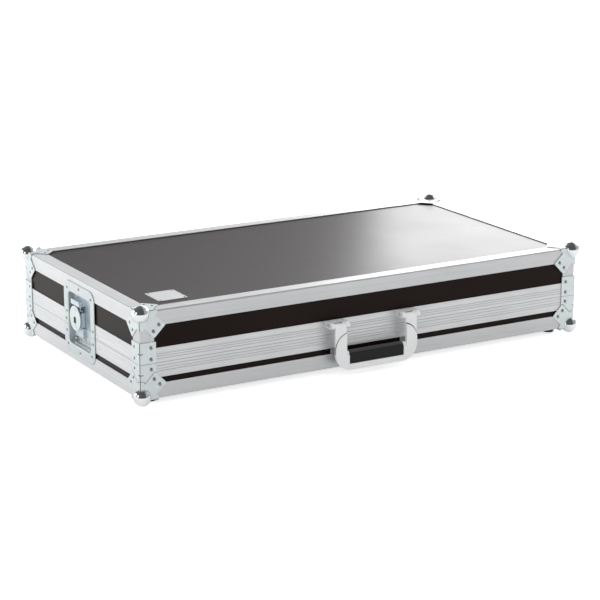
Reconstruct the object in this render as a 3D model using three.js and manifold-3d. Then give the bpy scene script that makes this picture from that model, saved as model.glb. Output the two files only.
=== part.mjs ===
// Lighting console flight case: a shallow base and a deeper lift-off lid, panels in aluminium profiles,
// ball corners, a recessed twist latch in each end and a swing handle in front. Millimetres, +Z up,
// X along the case, front at -Y. The origin is on the floor, under the middle of the whole object's box.
import * as THREE from "three";
import { mergeVertices } from "three/addons/utils/BufferGeometryUtils.js";
import Module from "manifold-3d";

const wasm = await Module();
wasm.setup();

// Case body, measured over the aluminium
const caseLength = 1052;
const caseDepth = 570;
const caseHeight = 180;
const baseHeight = 73;

// Clearances: between fixed neighbours, between lid and base, round what turns, and past a face by a cut
const fit = 0.3;
const partingGap = 0.6;
const runningGap = 0.5;
const overrun = 5;

// Panels and the aluminium angles that wrap their edges. The base shows a band of its panel above the angle.
const panelThickness = 9;
const baseBand = 11.8;
const angleWall = 1.6;
const angleEdgeRadius = 2.4;
const edgeSteps = 3;

// Closure profiles: two meet at the parting line, tongue on the base, groove in the lid
const closureHeight = 30.2;
const closureInnerWall = 1.5;
const closureInnerLip = 12;
const closureWeb = 1.4;
const tongueWidth = 2.4;
const tongueHeight = 6;
const tongueClearance = 0.6;
const ribGrooveWidth = 1.6;
const ribGrooveDepth = 0.5;
const lidRibGrooveShares = [0.265, 0.43, 0.58];
const baseRibGrooveShares = [0.2, 0.4, 0.563];

// Ball corners: a ball on each case corner and a plate on each of the three faces
const plateThickness = 1.5;
const ballRadius = 18;
const ballInset = 5.3;
const ballFloorGap = 1.3;
const ballAround = 20;
const ballUp = 12;
const legRootToParting = 35;
const legRootWidth = 6;
const legRootBevel = 5;
const legNeckAcross = 9;
const legTipToParting = 17;
const legTipSlant = 25.5;

// Corner braces at the parting line, each with the short upright angle that it is riveted to
const braceLeg = 34;
const braceLap = 13.8;

// Rubber feet, screwed through the bottom legs of the ball corners
const footBehindTip = 5.25;
const footRadius = 13;
const footTopRadius = 12;
const footBevel = 1.5;
const footScrewRadius = 4.5;
const footScrewDepth = 5;
const roundSteps = 24;

// Foam lining
const foamWall = 20;
const foamFloor = 15;
const foamGap = 0.5;

// Latch dish in each end, half on the lid and half on the base
const dishWidth = 150;
const dishMargin = 12;
const dishRaise = 0.5;
const dishCornerRadius = 24;
const dishWall = 1.5;
const dishSideRim = 20;
const dishTopRim = 23;
const recessDepth = 16;
const recessCornerRadius = 11;
const cornerSteps = 5;

// Latch mechanism. It sits nearer the back of the recess, and fingers reach in from the front.
const latchBackRoom = 3;
const latchRaise = 1.5;
const wingThickness = 2.2;
const wingBarrelRadius = 1.6;
const wingPinRadius = 0.8;
const wingPinLength = 2;
const wingTipLength = 9;
const wingSteps = 16;
const hubRibHalf = 2.5;
const hubEarLength = 3;
const hubCarrierThickness = 2.1;
const spindleRadius = 4;
const spindleEndGap = 1.5;
const bearingWidth = 37;
const hookWidth = 24;
const hookThickness = 2.4;
const hookFloorGap = 2;
const hookTravel = 8;
const clawWidth = 40;
const clawFrontGap = 0.4;
const smallSteps = 10;

// Latch levels, as shares of the room from the hub's centre to the recess's top, or down to its bottom
const wingRadiusShare = 0.495;
const bearingTopShare = 0.25;
const hookStepShare = 0.29;
const clawLowShare = 0.51;
const keeperLowShare = 0.52;
const clawTopShare = 0.725;
const hookBottomShare = 0.67;
const housingBottomShare = 0.73;

// Front handle: two brackets on the lid's closure profile, a bail that hangs from them and its grip
const handleTopBelowClosure = 0.8;
const bracketInner = 64;
const bracketWidth = 43;
const bracketPlateThickness = 2;
const bracketShelfThickness = 1.8;
const bracketCheek = 8;
const pivotReach = 22.2;
const pivotDrop = 7;
const barrelRadius = 4.8;
const knuckleRadius = 5.6;
const pinRadius = 2.6;
const bailAboveBottom = 0.4;
const bailLayer = 3;
const bailCornerRadius = 36;
const shoulderTop = 15;
const barHeight = 12.5;
const bailStepHeight = 19.4;
const gripEndRoom = 7.2;
const gripFaceHeight = 20;
const gripCrown = 6.8;
const gripDepth = 19.5;
const gripBehindBail = 1.3;
const gripBarRadius = 5;
const gripBarUp = 21.6;
const gripBarLap = 6;
const handleSteps = 8;

// Places worked out from the sizes above
const panelInset = angleWall + fit;
const lidHeight = caseHeight - baseHeight;
const angleLeg = baseHeight - closureHeight - baseBand;
const ballProud = ballRadius - ballInset;
const floorClearance = ballProud + ballFloorGap;
const bailReach = pivotReach + barrelRadius;
const handleReach = bailReach + bailLayer;
const caseShift = (handleReach - ballProud) / 2;
const partingZ = floorClearance + baseHeight;
const closureWall = angleWall - fit;
const closureSlot = panelThickness + 2 * fit;
const closureDepth = fit + closureWall + closureSlot + closureInnerWall;
const closureBlockHeight = tongueHeight + tongueClearance + closureWeb;
const closureInnerHeight = closureBlockHeight + closureInnerLip;
const panelEnd = closureBlockHeight + fit;
const legRootLength = baseHeight - legRootToParting;
const legNeckAlong = legRootLength - legRootBevel;
const legTipFar = baseHeight - legTipToParting;
const legTipNear = legTipFar - legTipSlant;
const braceHeight = closureHeight + braceLap;
const footInset = (legTipNear + legTipFar) / 2 - footBehindTip;
const dishHeight = caseHeight - 2 * dishMargin;
const dishCentreUp = caseHeight / 2 - baseHeight + dishRaise;
const recessWidth = dishWidth - 2 * dishSideRim;
const recessHeight = dishHeight - 2 * dishTopRim;
const dishCut = recessWidth / 2 + dishWall + fit;

const finish = (color, roughness, metalness) =>
  new THREE.MeshStandardMaterial({ color, roughness, metalness });
const laminate = finish(0x1f1b1a, 0.28, 0);
const aluminium = finish(0xc4c8c9, 0.38, 1);
const zinc = finish(0xc3cbca, 0.3, 1);
const chrome = finish(0xe2e5e6, 0.06, 1);
const rubber = finish(0x121212, 0.7, 0);
const foam = finish(0x26272a, 0.95, 0);

// Turns a geometry into a solid, with its shared vertices merged and its faces pointing out
function solid(geometry) {
  const bare = geometry.index ? geometry.toNonIndexed() : geometry.clone();
  bare.deleteAttribute("normal");
  bare.deleteAttribute("uv");
  const merged = mergeVertices(bare);
  const vertProperties = merged.attributes.position.array;
  const triVerts = new Uint32Array(merged.index.array);
  const made = new wasm.Manifold(new wasm.Mesh({ numProp: 3, vertProperties, triVerts }));
  if (made.volume() > 0) return made;
  for (let i = 0; i < triVerts.length; i += 3) {
    [triVerts[i + 1], triVerts[i + 2]] = [triVerts[i + 2], triVerts[i + 1]];
  }
  return new wasm.Manifold(new wasm.Mesh({ numProp: 3, vertProperties, triVerts }));
}

function geometryOf(made) {
  const mesh = made.getMesh();
  const geometry = new THREE.BufferGeometry();
  geometry.setAttribute("position", new THREE.BufferAttribute(mesh.vertProperties, mesh.numProp));
  geometry.setIndex(new THREE.BufferAttribute(mesh.triVerts, 1));
  geometry.computeVertexNormals();
  return geometry;
}

const ordered = (a, b) => [Math.min(a, b), Math.max(a, b)];
const join = (...parts) => parts.reduce((whole, part) => whole.add(part));
const cut = (whole, ...parts) => parts.reduce((rest, part) => rest.subtract(part), whole);

function piece(name, made, material) {
  const mesh = new THREE.Mesh(geometryOf(made), material);
  mesh.name = name;
  return mesh;
}

// A box between two corners, with the corners' own values, so that boxes that meet share their face exactly
function block(low, high) {
  const geometry = new THREE.BoxGeometry();
  const corners = geometry.attributes.position;
  for (let i = 0; i < corners.count; i += 1) {
    for (let axis = 0; axis < corners.itemSize; axis += 1) {
      corners.setComponent(i, axis, corners.getComponent(i, axis) < 0 ? low[axis] : high[axis]);
    }
  }
  return solid(geometry);
}

// A round bar between two values along one axis, about a centre on the other two
function bar(axis, from, to, centre, radius, steps) {
  const geometry = new THREE.CylinderGeometry(radius, radius, to - from, steps);
  if (axis === "x") geometry.rotateZ(Math.PI / 2);
  if (axis === "z") geometry.rotateX(Math.PI / 2);
  const middle = (from + to) / 2;
  const place = {
    x: [middle, centre[0], centre[1]],
    y: [centre[0], middle, centre[1]],
    z: [centre[0], centre[1], middle],
  }[axis];
  geometry.translate(...place);
  return solid(geometry);
}

// An outline in two world axes, given a thickness along the third, from one value to another
function slab(points, axis, from, to, steps = cornerSteps) {
  const shape = points instanceof THREE.Shape ? points : new THREE.Shape(points);
  const geometry = new THREE.ExtrudeGeometry(shape, { depth: 1, bevelEnabled: false, curveSegments: steps });
  const faces = geometry.attributes.position;
  for (let i = 0; i < faces.count; i += 1) {
    faces.setZ(i, faces.getZ(i) > 0 ? to : from);
  }
  const turn = {
    x: new THREE.Matrix4().set(0, 0, 1, 0, 1, 0, 0, 0, 0, 1, 0, 0, 0, 0, 0, 1),
    y: new THREE.Matrix4().set(1, 0, 0, 0, 0, 0, 1, 0, 0, 1, 0, 0, 0, 0, 0, 1),
    z: new THREE.Matrix4(),
  }[axis];
  geometry.applyMatrix4(turn);
  return solid(geometry);
}

const outline = (pairs) => pairs.map(([u, v]) => new THREE.Vector2(u, v));

// A rectangle with four round corners
function roundedRectangle(left, bottom, right, top, radius) {
  const shape = new THREE.Shape();
  shape.moveTo(left + radius, bottom);
  shape.lineTo(right - radius, bottom);
  shape.absarc(right - radius, bottom + radius, radius, -Math.PI / 2, 0);
  shape.lineTo(right, top - radius);
  shape.absarc(right - radius, top - radius, radius, 0, Math.PI / 2);
  shape.lineTo(left + radius, top);
  shape.absarc(left + radius, top - radius, radius, Math.PI / 2, Math.PI);
  shape.lineTo(left, bottom + radius);
  shape.absarc(left + radius, bottom + radius, radius, Math.PI, (Math.PI * 3) / 2);
  return shape;
}

// A profile swept along a path. The section's points are [inward, up], and each station places them.
function run(profile, stations) {
  const section = THREE.ShapeUtils.isClockWise(outline(profile)) ? [...profile].reverse() : profile;
  const count = section.length;
  const positions = stations.flatMap((station) =>
    section.flatMap(([inward, up]) => [...station(inward), up]),
  );
  const indices = [];
  for (let s = 0; s < stations.length - 1; s += 1) {
    for (let i = 0; i < count; i += 1) {
      const j = (i + 1) % count;
      const [a, b] = [s * count + i, s * count + j];
      indices.push(a, b, b + count, a, b + count, a + count);
    }
  }
  const last = (stations.length - 1) * count;
  const cap = THREE.ShapeUtils.triangulateShape(outline(section), []);
  for (const [a, b, c] of cap) {
    indices.push(c, b, a, last + a, last + b, last + c);
  }
  const geometry = new THREE.BufferGeometry();
  geometry.setAttribute("position", new THREE.Float32BufferAttribute(positions, 3));
  geometry.setIndex(indices);
  return solid(geometry);
}

// Stations of the case's outline: its four corners, mitred, and a square cut along an end
const halfLength = caseLength / 2;
const halfDepth = caseDepth / 2;
const mitre = (sideX, sideY) => (inward) => [sideX * (halfLength - inward), sideY * (halfDepth - inward)];
const endCut = (sideX, y) => (inward) => [sideX * (halfLength - inward), y];
const sides = {
  front: [mitre(-1, -1), mitre(1, -1)],
  right: [mitre(1, -1), mitre(1, 1)],
  back: [mitre(1, 1), mitre(-1, 1)],
  left: [mitre(-1, 1), mitre(-1, -1)],
};

// Frame of each half: z is 0 at the parting plane, and up is the way from there to the half's outer face
const object = new THREE.Group();
const caseGroup = new THREE.Group();
caseGroup.position.set(0, caseShift, partingZ);
object.add(caseGroup);

// Edge angle: an L that wraps the edge between the outer face and one side, its outer edge rounded.
// Neighbours are mitred, and each is drawn back by the fit along its own side.
function angleSection(height, way) {
  const arc = Array.from({ length: edgeSteps + 1 }, (_, i) => {
    const turn = (Math.PI / 2) * (i / edgeSteps);
    return [angleEdgeRadius * (1 - Math.sin(turn)), angleEdgeRadius * (1 - Math.cos(turn))];
  });
  const down = [
    [angleLeg, 0],
    ...arc,
    [0, angleLeg],
    [angleWall, angleLeg],
    [angleWall, angleWall],
    [angleLeg, angleWall],
  ];
  return down.map(([inward, below]) => [inward, way * (height - below)]);
}

const shortened = (station, alongX, alongY) => (inward) => {
  const [x, y] = station(inward);
  return [x - alongX, y - alongY];
};

function edgeAngles(label, height, way) {
  for (const [side, [from, to]] of Object.entries(sides)) {
    const [fromX, fromY] = from(0);
    const [toX, toY] = to(0);
    const [alongX, alongY] = [Math.sign(toX - fromX) * fit, Math.sign(toY - fromY) * fit];
    const stations = [shortened(from, -alongX, -alongY), shortened(to, alongX, alongY)];
    const made = run(angleSection(height, way), stations);
    caseGroup.add(piece(`${label}_${side}_angle`, made, aluminium));
  }
}

// Panels: one under the outer face, four round the sides, the end ones cut out for the dish
function panels(label, faceName, height, way) {
  const faceFrom = height - panelInset;
  const faceTo = faceFrom - panelThickness;
  const wallTop = faceTo - fit;
  const outerX = halfLength - panelInset;
  const outerY = halfDepth - panelInset;
  const [faceLow, faceHigh] = ordered(way * faceFrom, way * faceTo);
  const [wallLow, wallHigh] = ordered(way * panelEnd, way * wallTop);
  const face = block([-outerX, -outerY, faceLow], [outerX, outerY, faceHigh]);
  caseGroup.add(piece(`${label}_${faceName}_panel`, face, laminate));
  for (const [side, sideY] of [["front", -1], ["back", 1]]) {
    const [low, high] = ordered(sideY * outerY, sideY * (outerY - panelThickness));
    const wall = block([-outerX, low, wallLow], [outerX, high, wallHigh]);
    caseGroup.add(piece(`${label}_${side}_panel`, wall, laminate));
  }
  const endY = outerY - panelThickness - fit;
  const notchTop = recessHeight / 2 + way * dishCentreUp + dishWall + fit;
  const endOutline = outline([
    [-endY, way * panelEnd],
    [-dishCut, way * panelEnd],
    [-dishCut, way * notchTop],
    [dishCut, way * notchTop],
    [dishCut, way * panelEnd],
    [endY, way * panelEnd],
    [endY, way * wallTop],
    [-endY, way * wallTop],
  ]);
  for (const [side, sideX] of [["left", -1], ["right", 1]]) {
    const [low, high] = ordered(sideX * outerX, sideX * (outerX - panelThickness));
    caseGroup.add(piece(`${label}_${side}_panel`, slab(endOutline, "x", low, high), laminate));
  }
}

// Closure profile: a wall outside, a slot for the panel, a lower wall inside, and a tongue or a groove at the
// parting. It runs along one long side and round both corners as far as the dishes.
const tongueMiddle = fit + closureWall + closureSlot / 2;
const partingFace = partingGap / 2;

function closureSection(way, grooveShares) {
  const slotOuter = fit + closureWall;
  const slotInner = slotOuter + closureSlot;
  const grooves = grooveShares.map((share) => share * closureHeight).reverse();
  const ribs = grooves.flatMap((height) => [
    [fit, height + ribGrooveWidth / 2],
    [fit + ribGrooveDepth, height],
    [fit, height - ribGrooveWidth / 2],
  ]);
  const grooveHalf = tongueWidth / 2 + tongueClearance;
  const grooveTop = tongueHeight + tongueClearance;
  const meeting = way > 0
    ? [
        [tongueMiddle - grooveHalf, partingFace],
        [tongueMiddle - grooveHalf, grooveTop],
        [tongueMiddle + grooveHalf, grooveTop],
        [tongueMiddle + grooveHalf, partingFace],
      ]
    : [
        [tongueMiddle - tongueWidth / 2, partingFace],
        [tongueMiddle - tongueWidth / 2, -tongueHeight],
        [tongueMiddle + tongueWidth / 2, -tongueHeight],
        [tongueMiddle + tongueWidth / 2, partingFace],
      ];
  const section = [
    [fit, closureHeight],
    ...ribs,
    [fit, partingFace],
    ...meeting,
    [closureDepth, partingFace],
    [closureDepth, closureInnerHeight],
    [slotInner, closureInnerHeight],
    [slotInner, closureBlockHeight],
    [slotOuter, closureBlockHeight],
    [slotOuter, closureHeight],
  ];
  return section.map(([inward, up]) => [inward, way * up]);
}

function closures(label, way, grooveShares) {
  for (const [side, sideY] of [["front", -1], ["back", 1]]) {
    const stations = [
      endCut(-1, sideY * dishCut),
      mitre(-1, sideY),
      mitre(1, sideY),
      endCut(1, sideY * dishCut),
    ];
    const made = run(closureSection(way, grooveShares), stations);
    caseGroup.add(piece(`${label}_${side}_closure`, made, aluminium));
  }
}

// Ball corner, made at a case corner whose faces look along -X, -Y and +Z, and mirrored to the others
const legOutline = [
  [-plateThickness - fit, -plateThickness - fit],
  [legRootLength, -plateThickness - fit],
  [legRootLength, legRootWidth],
  [legNeckAlong, legNeckAcross],
  [legTipFar, legTipNear],
  [legTipNear, legTipFar],
  [legNeckAcross, legNeckAlong],
  [legRootWidth, legRootLength],
  [-plateThickness - fit, legRootLength],
];

function cornerPlates() {
  const outside = -fit - plateThickness;
  const upright = outline(legOutline.map(([along, down]) => [along, -down]));
  return join(
    slab(outline(legOutline), "z", fit, fit + plateThickness),
    slab(upright, "x", outside, -fit),
    slab(upright, "y", outside, -fit),
  );
}

function ballCorner() {
  const ballGeometry = new THREE.SphereGeometry(ballRadius, ballAround, ballUp);
  ballGeometry.rotateX(Math.PI / 2);
  ballGeometry.translate(ballInset, ballInset, -ballInset);
  const inside = block([-fit, -fit, -legTipFar], [legTipFar, legTipFar, fit]);
  return cut(join(solid(ballGeometry), cornerPlates()), inside);
}

const corners = [
  ["front_left", -1, -1],
  ["front_right", 1, -1],
  ["back_left", -1, 1],
  ["back_right", 1, 1],
];

function ballCorners(label, height, way) {
  const made = ballCorner();
  for (const [corner, sideX, sideY] of corners) {
    const mesh = piece(`${label}_ball_corner_${corner}`, made, chrome);
    mesh.scale.set(-sideX, -sideY, way);
    mesh.position.set(sideX * halfLength, sideY * halfDepth, way * height);
    caseGroup.add(mesh);
  }
}

// Brace with its upright angle, made at the corner whose faces look along -X and -Y.
// Its z runs up from the parting plane.
function brace(height) {
  const outside = -fit - plateThickness;
  const plate = cut(
    block([outside, outside, partingFace], [braceLeg, braceLeg, braceHeight]),
    block([0, 0, 0], [caseLength, caseLength, caseHeight]),
  );
  const reliefTop = closureHeight + fit;
  const angleTop = height - angleLeg - fit;
  const upright = outline([
    [0, 0],
    [angleLeg, 0],
    [angleLeg, angleWall],
    [angleWall, angleWall],
    [angleWall, angleLeg],
    [0, angleLeg],
  ]);
  const angle = slab(upright, "z", reliefTop, angleTop);
  const relief = fit / 2;
  const belowLegs = block([-relief, -relief, 0], [caseLength, caseLength, reliefTop]);
  const joined = join(cut(plate, belowLegs), angle);
  return cut(joined, legClearance(height));
}

// The room that the ball corner's plates need over a brace: the leg's outline moved by the fit to every side
function legClearance(height) {
  const past = (value) => (value < 0 ? value - overrun : value);
  const outside = -fit - plateThickness - overrun;
  const rooms = [-fit, fit].flatMap((alongBy) =>
    [-fit, fit].flatMap((downBy) => {
      const shifted = ([along, down]) => [past(along) + alongBy, height - past(down) - downBy];
      const moved = legOutline.map(shifted);
      return [slab(outline(moved), "x", outside, 0), slab(outline(moved), "y", outside, 0)];
    }),
  );
  return join(...rooms);
}

function braces(label, height, way) {
  const made = brace(height);
  for (const [corner, sideX, sideY] of corners) {
    const mesh = piece(`${label}_brace_${corner}`, made, zinc);
    mesh.scale.set(-sideX, -sideY, way);
    mesh.position.set(sideX * halfLength, sideY * halfDepth, 0);
    caseGroup.add(mesh);
  }
}

// Rubber foot with its screw hole, standing on the floor
function feet() {
  const footHeight = floorClearance - plateThickness - 2 * fit;
  const profile = outline([
    [0, footScrewDepth],
    [footScrewRadius, footScrewDepth],
    [footScrewRadius, 0],
    [footRadius - footBevel, 0],
    [footRadius, footBevel],
    [footTopRadius, footHeight],
    [0, footHeight],
  ]);
  const geometry = new THREE.LatheGeometry(profile, roundSteps);
  geometry.rotateX(Math.PI / 2);
  const made = solid(geometry);
  for (const [corner, sideX, sideY] of corners) {
    const mesh = piece(`foot_${corner}`, made, rubber);
    mesh.position.set(sideX * (halfLength - footInset), sideY * (halfDepth - footInset), -partingZ);
    caseGroup.add(mesh);
  }
}

// Foam lining: a tray in the base and a deeper one in the lid, let in for the dish tubs
function foamLining(label, height, way) {
  const outerX = halfLength - closureDepth - foamGap;
  const outerY = halfDepth - closureDepth - foamGap;
  const face = height - panelInset - panelThickness - foamGap;
  const [trayLow, trayHigh] = ordered(way * face, way * partingFace);
  const tray = block([-outerX, -outerY, trayLow], [outerX, outerY, trayHigh]);
  const hollowTop = face - foamFloor;
  const mouth = -overrun;
  const [hollowLow, hollowHigh] = ordered(way * hollowTop, way * mouth);
  const hollow = block(
    [foamWall - outerX, foamWall - outerY, hollowLow],
    [outerX - foamWall, outerY - foamWall, hollowHigh],
  );
  const tubDepth = recessDepth + dishWall + foamGap;
  const tubTop = recessHeight / 2 + way * dishCentreUp + dishWall + foamGap;
  const [tubLow, tubHigh] = ordered(way * tubTop, way * mouth);
  const tubRoom = [-1, 1].map((side) => {
    const [from, to] = ordered(side * (halfLength - tubDepth), side * halfLength);
    return block([from, -dishCut, tubLow], [to, dishCut, tubHigh]);
  });
  caseGroup.add(piece(`${label}_foam_lining`, cut(tray, hollow, ...tubRoom), foam));
}

// Latch depths, inwards from the end face, from the wings to the recess floor
const carrierDepth = 2 * wingBarrelRadius + fit;
const bearingDepth = carrierDepth + hubCarrierThickness + runningGap;
const hookDepth = recessDepth - hookFloorGap - hookThickness;
const bearingBack = hookDepth - runningGap;
const spindleEnd = recessDepth - spindleEndGap;
const clawDepth = bearingDepth + fit;
const keeperDepth = clawDepth + hookThickness + runningGap;
const hingeOffset = hubRibHalf + runningGap + wingBarrelRadius;

// Latch places across and up, from the hub's centre
const latchUp = dishCentreUp + latchRaise;
const roomAbove = dishCentreUp + recessHeight / 2 - latchUp;
const roomBelow = recessHeight - roomAbove;
const wingRadius = wingRadiusShare * roomAbove;
const wingBarrelHalf = wingRadius - wingTipLength;
const latchBack = recessWidth / 2 - latchBackRoom - wingRadius;
const bearingTop = latchUp + bearingTopShare * roomAbove;
const hookStep = latchUp + hookStepShare * roomAbove;
const clawLow = latchUp + clawLowShare * roomAbove;
const keeperLow = latchUp + keeperLowShare * roomAbove;
const clawTop = latchUp + clawTopShare * roomAbove;
const hookBottom = latchUp - hookBottomShare * roomBelow;
const housingBottom = latchUp - housingBottomShare * roomBelow;

// Both halves of the dish in one, at the end face: flange outside, tub inside, open in front
function dish() {
  const halfWide = dishWidth / 2;
  const halfTall = dishHeight / 2;
  const flange = roundedRectangle(
    -halfWide, dishCentreUp - halfTall, halfWide, dishCentreUp + halfTall, dishCornerRadius,
  );
  const room = (grow) => roundedRectangle(
    -recessWidth / 2 - grow,
    dishCentreUp - recessHeight / 2 - grow,
    recessWidth / 2 + grow,
    dishCentreUp + recessHeight / 2 + grow,
    recessCornerRadius + grow,
  );
  const outside = -fit - plateThickness;
  return cut(
    join(slab(flange, "x", outside, -fit), slab(room(dishWall), "x", outside, recessDepth + dishWall)),
    slab(room(0), "x", outside - overrun, recessDepth),
  );
}

const everything = caseLength;
const above = () => block([-everything, -everything, partingFace], [everything, everything, everything]);
const below = () => block([-everything, -everything, -everything], [everything, everything, -partingFace]);

// Lower dish with the housing and bearing plate that carry the hub and guide the hook
function latchDish() {
  const housing = block(
    [bearingDepth, latchBack - bearingWidth / 2, housingBottom],
    [recessDepth + dishWall / 2, latchBack + bearingWidth / 2, -partingFace],
  );
  const bearing = block(
    [bearingDepth, latchBack - bearingWidth / 2, housingBottom],
    [bearingBack, latchBack + bearingWidth / 2, bearingTop],
  );
  const hookRoom = block(
    [bearingBack, latchBack - hookWidth / 2 - runningGap, housingBottom - overrun],
    [recessDepth, latchBack + hookWidth / 2 + runningGap, overrun],
  );
  const bore = bar("x", 0, recessDepth, [latchBack, latchUp], spindleRadius + runningGap, smallSteps * 2);
  return cut(join(dish().intersect(below()), cut(housing, hookRoom), bearing), bore);
}

// Upper dish with the keeper block that the claw pulls down
function keeperDish() {
  const keeper = block(
    [keeperDepth, latchBack - clawWidth / 2, keeperLow],
    [recessDepth + dishWall / 2, latchBack + clawWidth / 2, clawTop],
  );
  return join(dish().intersect(above()), keeper);
}

// Hub: spindle, carrier bar and centre rib, with an ear at each end of the rib for the wings' pins
function latchHub() {
  const earInner = wingBarrelHalf + fit;
  const earOuter = earInner + hubEarLength;
  const halfWide = hingeOffset + wingBarrelRadius;
  const spindle = bar("x", carrierDepth, spindleEnd, [latchBack, latchUp], spindleRadius, smallSteps * 2);
  const carrier = block(
    [carrierDepth, latchBack - halfWide, latchUp - earOuter],
    [carrierDepth + hubCarrierThickness, latchBack + halfWide, latchUp + earOuter],
  );
  const rib = block(
    [0, latchBack - hubRibHalf, latchUp - earOuter],
    [carrierDepth, latchBack + hubRibHalf, latchUp + earOuter],
  );
  const ears = [-1, 1].map((side) => {
    const [low, high] = ordered(side * earInner, side * earOuter);
    return block(
      [0, latchBack - halfWide, latchUp + low],
      [carrierDepth, latchBack + halfWide, latchUp + high],
    );
  });
  const bores = [-1, 1].map((side) =>
    bar(
      "z", latchUp - earOuter - overrun, latchUp + earOuter + overrun,
      [wingBarrelRadius, latchBack + side * hingeOffset], wingPinRadius + fit, smallSteps,
    ),
  );
  return cut(join(spindle, carrier, rib, ...ears), ...bores);
}

// Wing: half of the round grip, on a barrel with a pin at each end
function latchWing(side) {
  const axis = [wingBarrelRadius, latchBack + side * hingeOffset];
  const inner = latchBack + side * hingeOffset;
  const reach = Math.sqrt(wingRadius ** 2 - hingeOffset ** 2);
  const shape = new THREE.Shape();
  const start = Math.atan2(reach, hingeOffset);
  const turn = side > 0 ? [start, -start, true] : [Math.PI - start, Math.PI + start, false];
  shape.moveTo(inner, latchUp + reach);
  shape.absarc(latchBack, latchUp, wingRadius, ...turn);
  const leaf = slab(shape, "x", 0, wingThickness, wingSteps);
  const earWidth = Math.hypot(wingBarrelRadius, wingBarrelRadius) + fit;
  const earRooms = [-1, 1].map((end) => {
    const [low, high] = ordered(end * wingBarrelHalf, end * (wingRadius + overrun));
    const [near, far] = ordered(inner - side * overrun, inner + side * earWidth);
    return block([-overrun, near, latchUp + low], [recessDepth, far, latchUp + high]);
  });
  const [barrelLow, barrelHigh] = [latchUp - wingBarrelHalf, latchUp + wingBarrelHalf];
  const barrel = bar("z", barrelLow, barrelHigh, axis, wingBarrelRadius, smallSteps);
  const pinHalf = wingBarrelHalf + wingPinLength;
  const pin = bar("z", latchUp - pinHalf, latchUp + pinHalf, axis, wingPinRadius, smallSteps);
  return join(cut(leaf, ...earRooms), barrel, pin);
}

// Hook: a strip behind the bearing plate that steps out behind the wings and ends in the claw in front of
// the keeper
function latchHook() {
  const halfWide = hookWidth / 2;
  const stepHigh = hookStep + hookThickness;
  const side = outline([
    [hookDepth, hookBottom],
    [hookDepth + hookThickness, hookBottom],
    [hookDepth + hookThickness, stepHigh],
    [clawDepth + hookThickness, stepHigh],
    [clawDepth + hookThickness, clawTop],
    [clawDepth, clawTop],
    [clawDepth, hookStep],
    [hookDepth, hookStep],
  ]);
  const strip = slab(side, "y", latchBack - halfWide, latchBack + halfWide);
  const claw = block(
    [clawFrontGap, latchBack - clawWidth / 2, clawLow],
    [clawDepth + hookThickness, latchBack + clawWidth / 2, clawTop],
  );
  const slotHalf = spindleRadius + runningGap;
  const slot = block(
    [hookDepth - overrun, latchBack - slotHalf, latchUp - slotHalf - hookTravel],
    [recessDepth, latchBack + slotHalf, latchUp + slotHalf],
  );
  return join(cut(strip, slot), claw);
}

function latches() {
  for (const [label, side] of [["left", -1], ["right", 1]]) {
    const end = new THREE.Group();
    end.scale.x = -side;
    end.position.x = side * halfLength;
    end.add(
      piece(`${label}_latch_dish`, latchDish(), zinc),
      piece(`${label}_keeper_dish`, keeperDish(), zinc),
      piece(`${label}_latch_hub`, latchHub(), zinc),
      piece(`${label}_latch_front_wing`, latchWing(-1), zinc),
      piece(`${label}_latch_back_wing`, latchWing(1), zinc),
      piece(`${label}_latch_hook`, latchHook(), zinc),
    );
    caseGroup.add(end);
  }
}

// Handle group: y is 0 at the case's front face, z is 0 at the top of the brackets. Each bracket is a strip
// that reaches out as a shelf, curls round the pin in two knuckles and comes back as two lips. Between the
// knuckles its shelf stops short of the bail's barrel, which turns there.
const bracketTop = closureHeight - handleTopBelowClosure;
const bracketPlateHeight = pivotDrop + knuckleRadius;
const pivot = [-pivotReach, -pivotDrop];
const bracketOuter = bracketInner + bracketWidth;
const armInner = bracketInner + bracketCheek + runningGap;
const armOuter = bracketOuter - bracketCheek - runningGap;

function bracket(side) {
  const across = (a, b) => ordered(side * a, side * b);
  const [low, high] = across(bracketInner, bracketOuter);
  const underShelf = pivotDrop - bracketShelfThickness;
  const barrelRoom = barrelRadius + runningGap;
  const shelfFront = Math.sqrt(Math.max(0, barrelRoom ** 2 - underShelf ** 2)) - pivotReach;
  const lipTop = bracketShelfThickness - bracketPlateHeight;
  const plate = block([low, -bracketPlateThickness, -bracketPlateHeight], [high, 0, 0]);
  const shelf = block([low, shelfFront, -bracketShelfThickness], [high, 0, 0]);
  const cheekPlaces = [
    across(bracketInner, bracketInner + bracketCheek),
    across(bracketOuter - bracketCheek, bracketOuter),
  ];
  const cheeks = cheekPlaces.map(([from, to]) =>
    join(
      block([from, -pivotReach, -bracketShelfThickness], [to, 0, 0]),
      block([from, -pivotReach, -bracketPlateHeight], [to, 0, lipTop]),
      bar("x", from, to, pivot, knuckleRadius, roundSteps),
    ),
  );
  const pinBore = bar("x", low - overrun, high + overrun, pivot, pinRadius + runningGap, roundSteps);
  return cut(join(plate, shelf, ...cheeks), pinBore);
}

// Bail: a back layer that hangs from the front of two barrels, a front layer with round shoulders, and the
// end of a round bar at each end of the grip, which laps the back of its arm
const bailBottom = -baseHeight - bracketTop + bailAboveBottom;
const bailDrop = -pivotDrop - bailBottom;
const barTop = bailBottom + barHeight;
const gripEnd = armInner - gripEndRoom;
const stepInner = gripEnd + fit + runningGap;
const bailStepTop = barTop + bailStepHeight;
const frontLayerTop = -pivotDrop - shoulderTop;
const shoulderRadius = Math.min(bailCornerRadius, (frontLayerTop - bailBottom) / 2);

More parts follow.
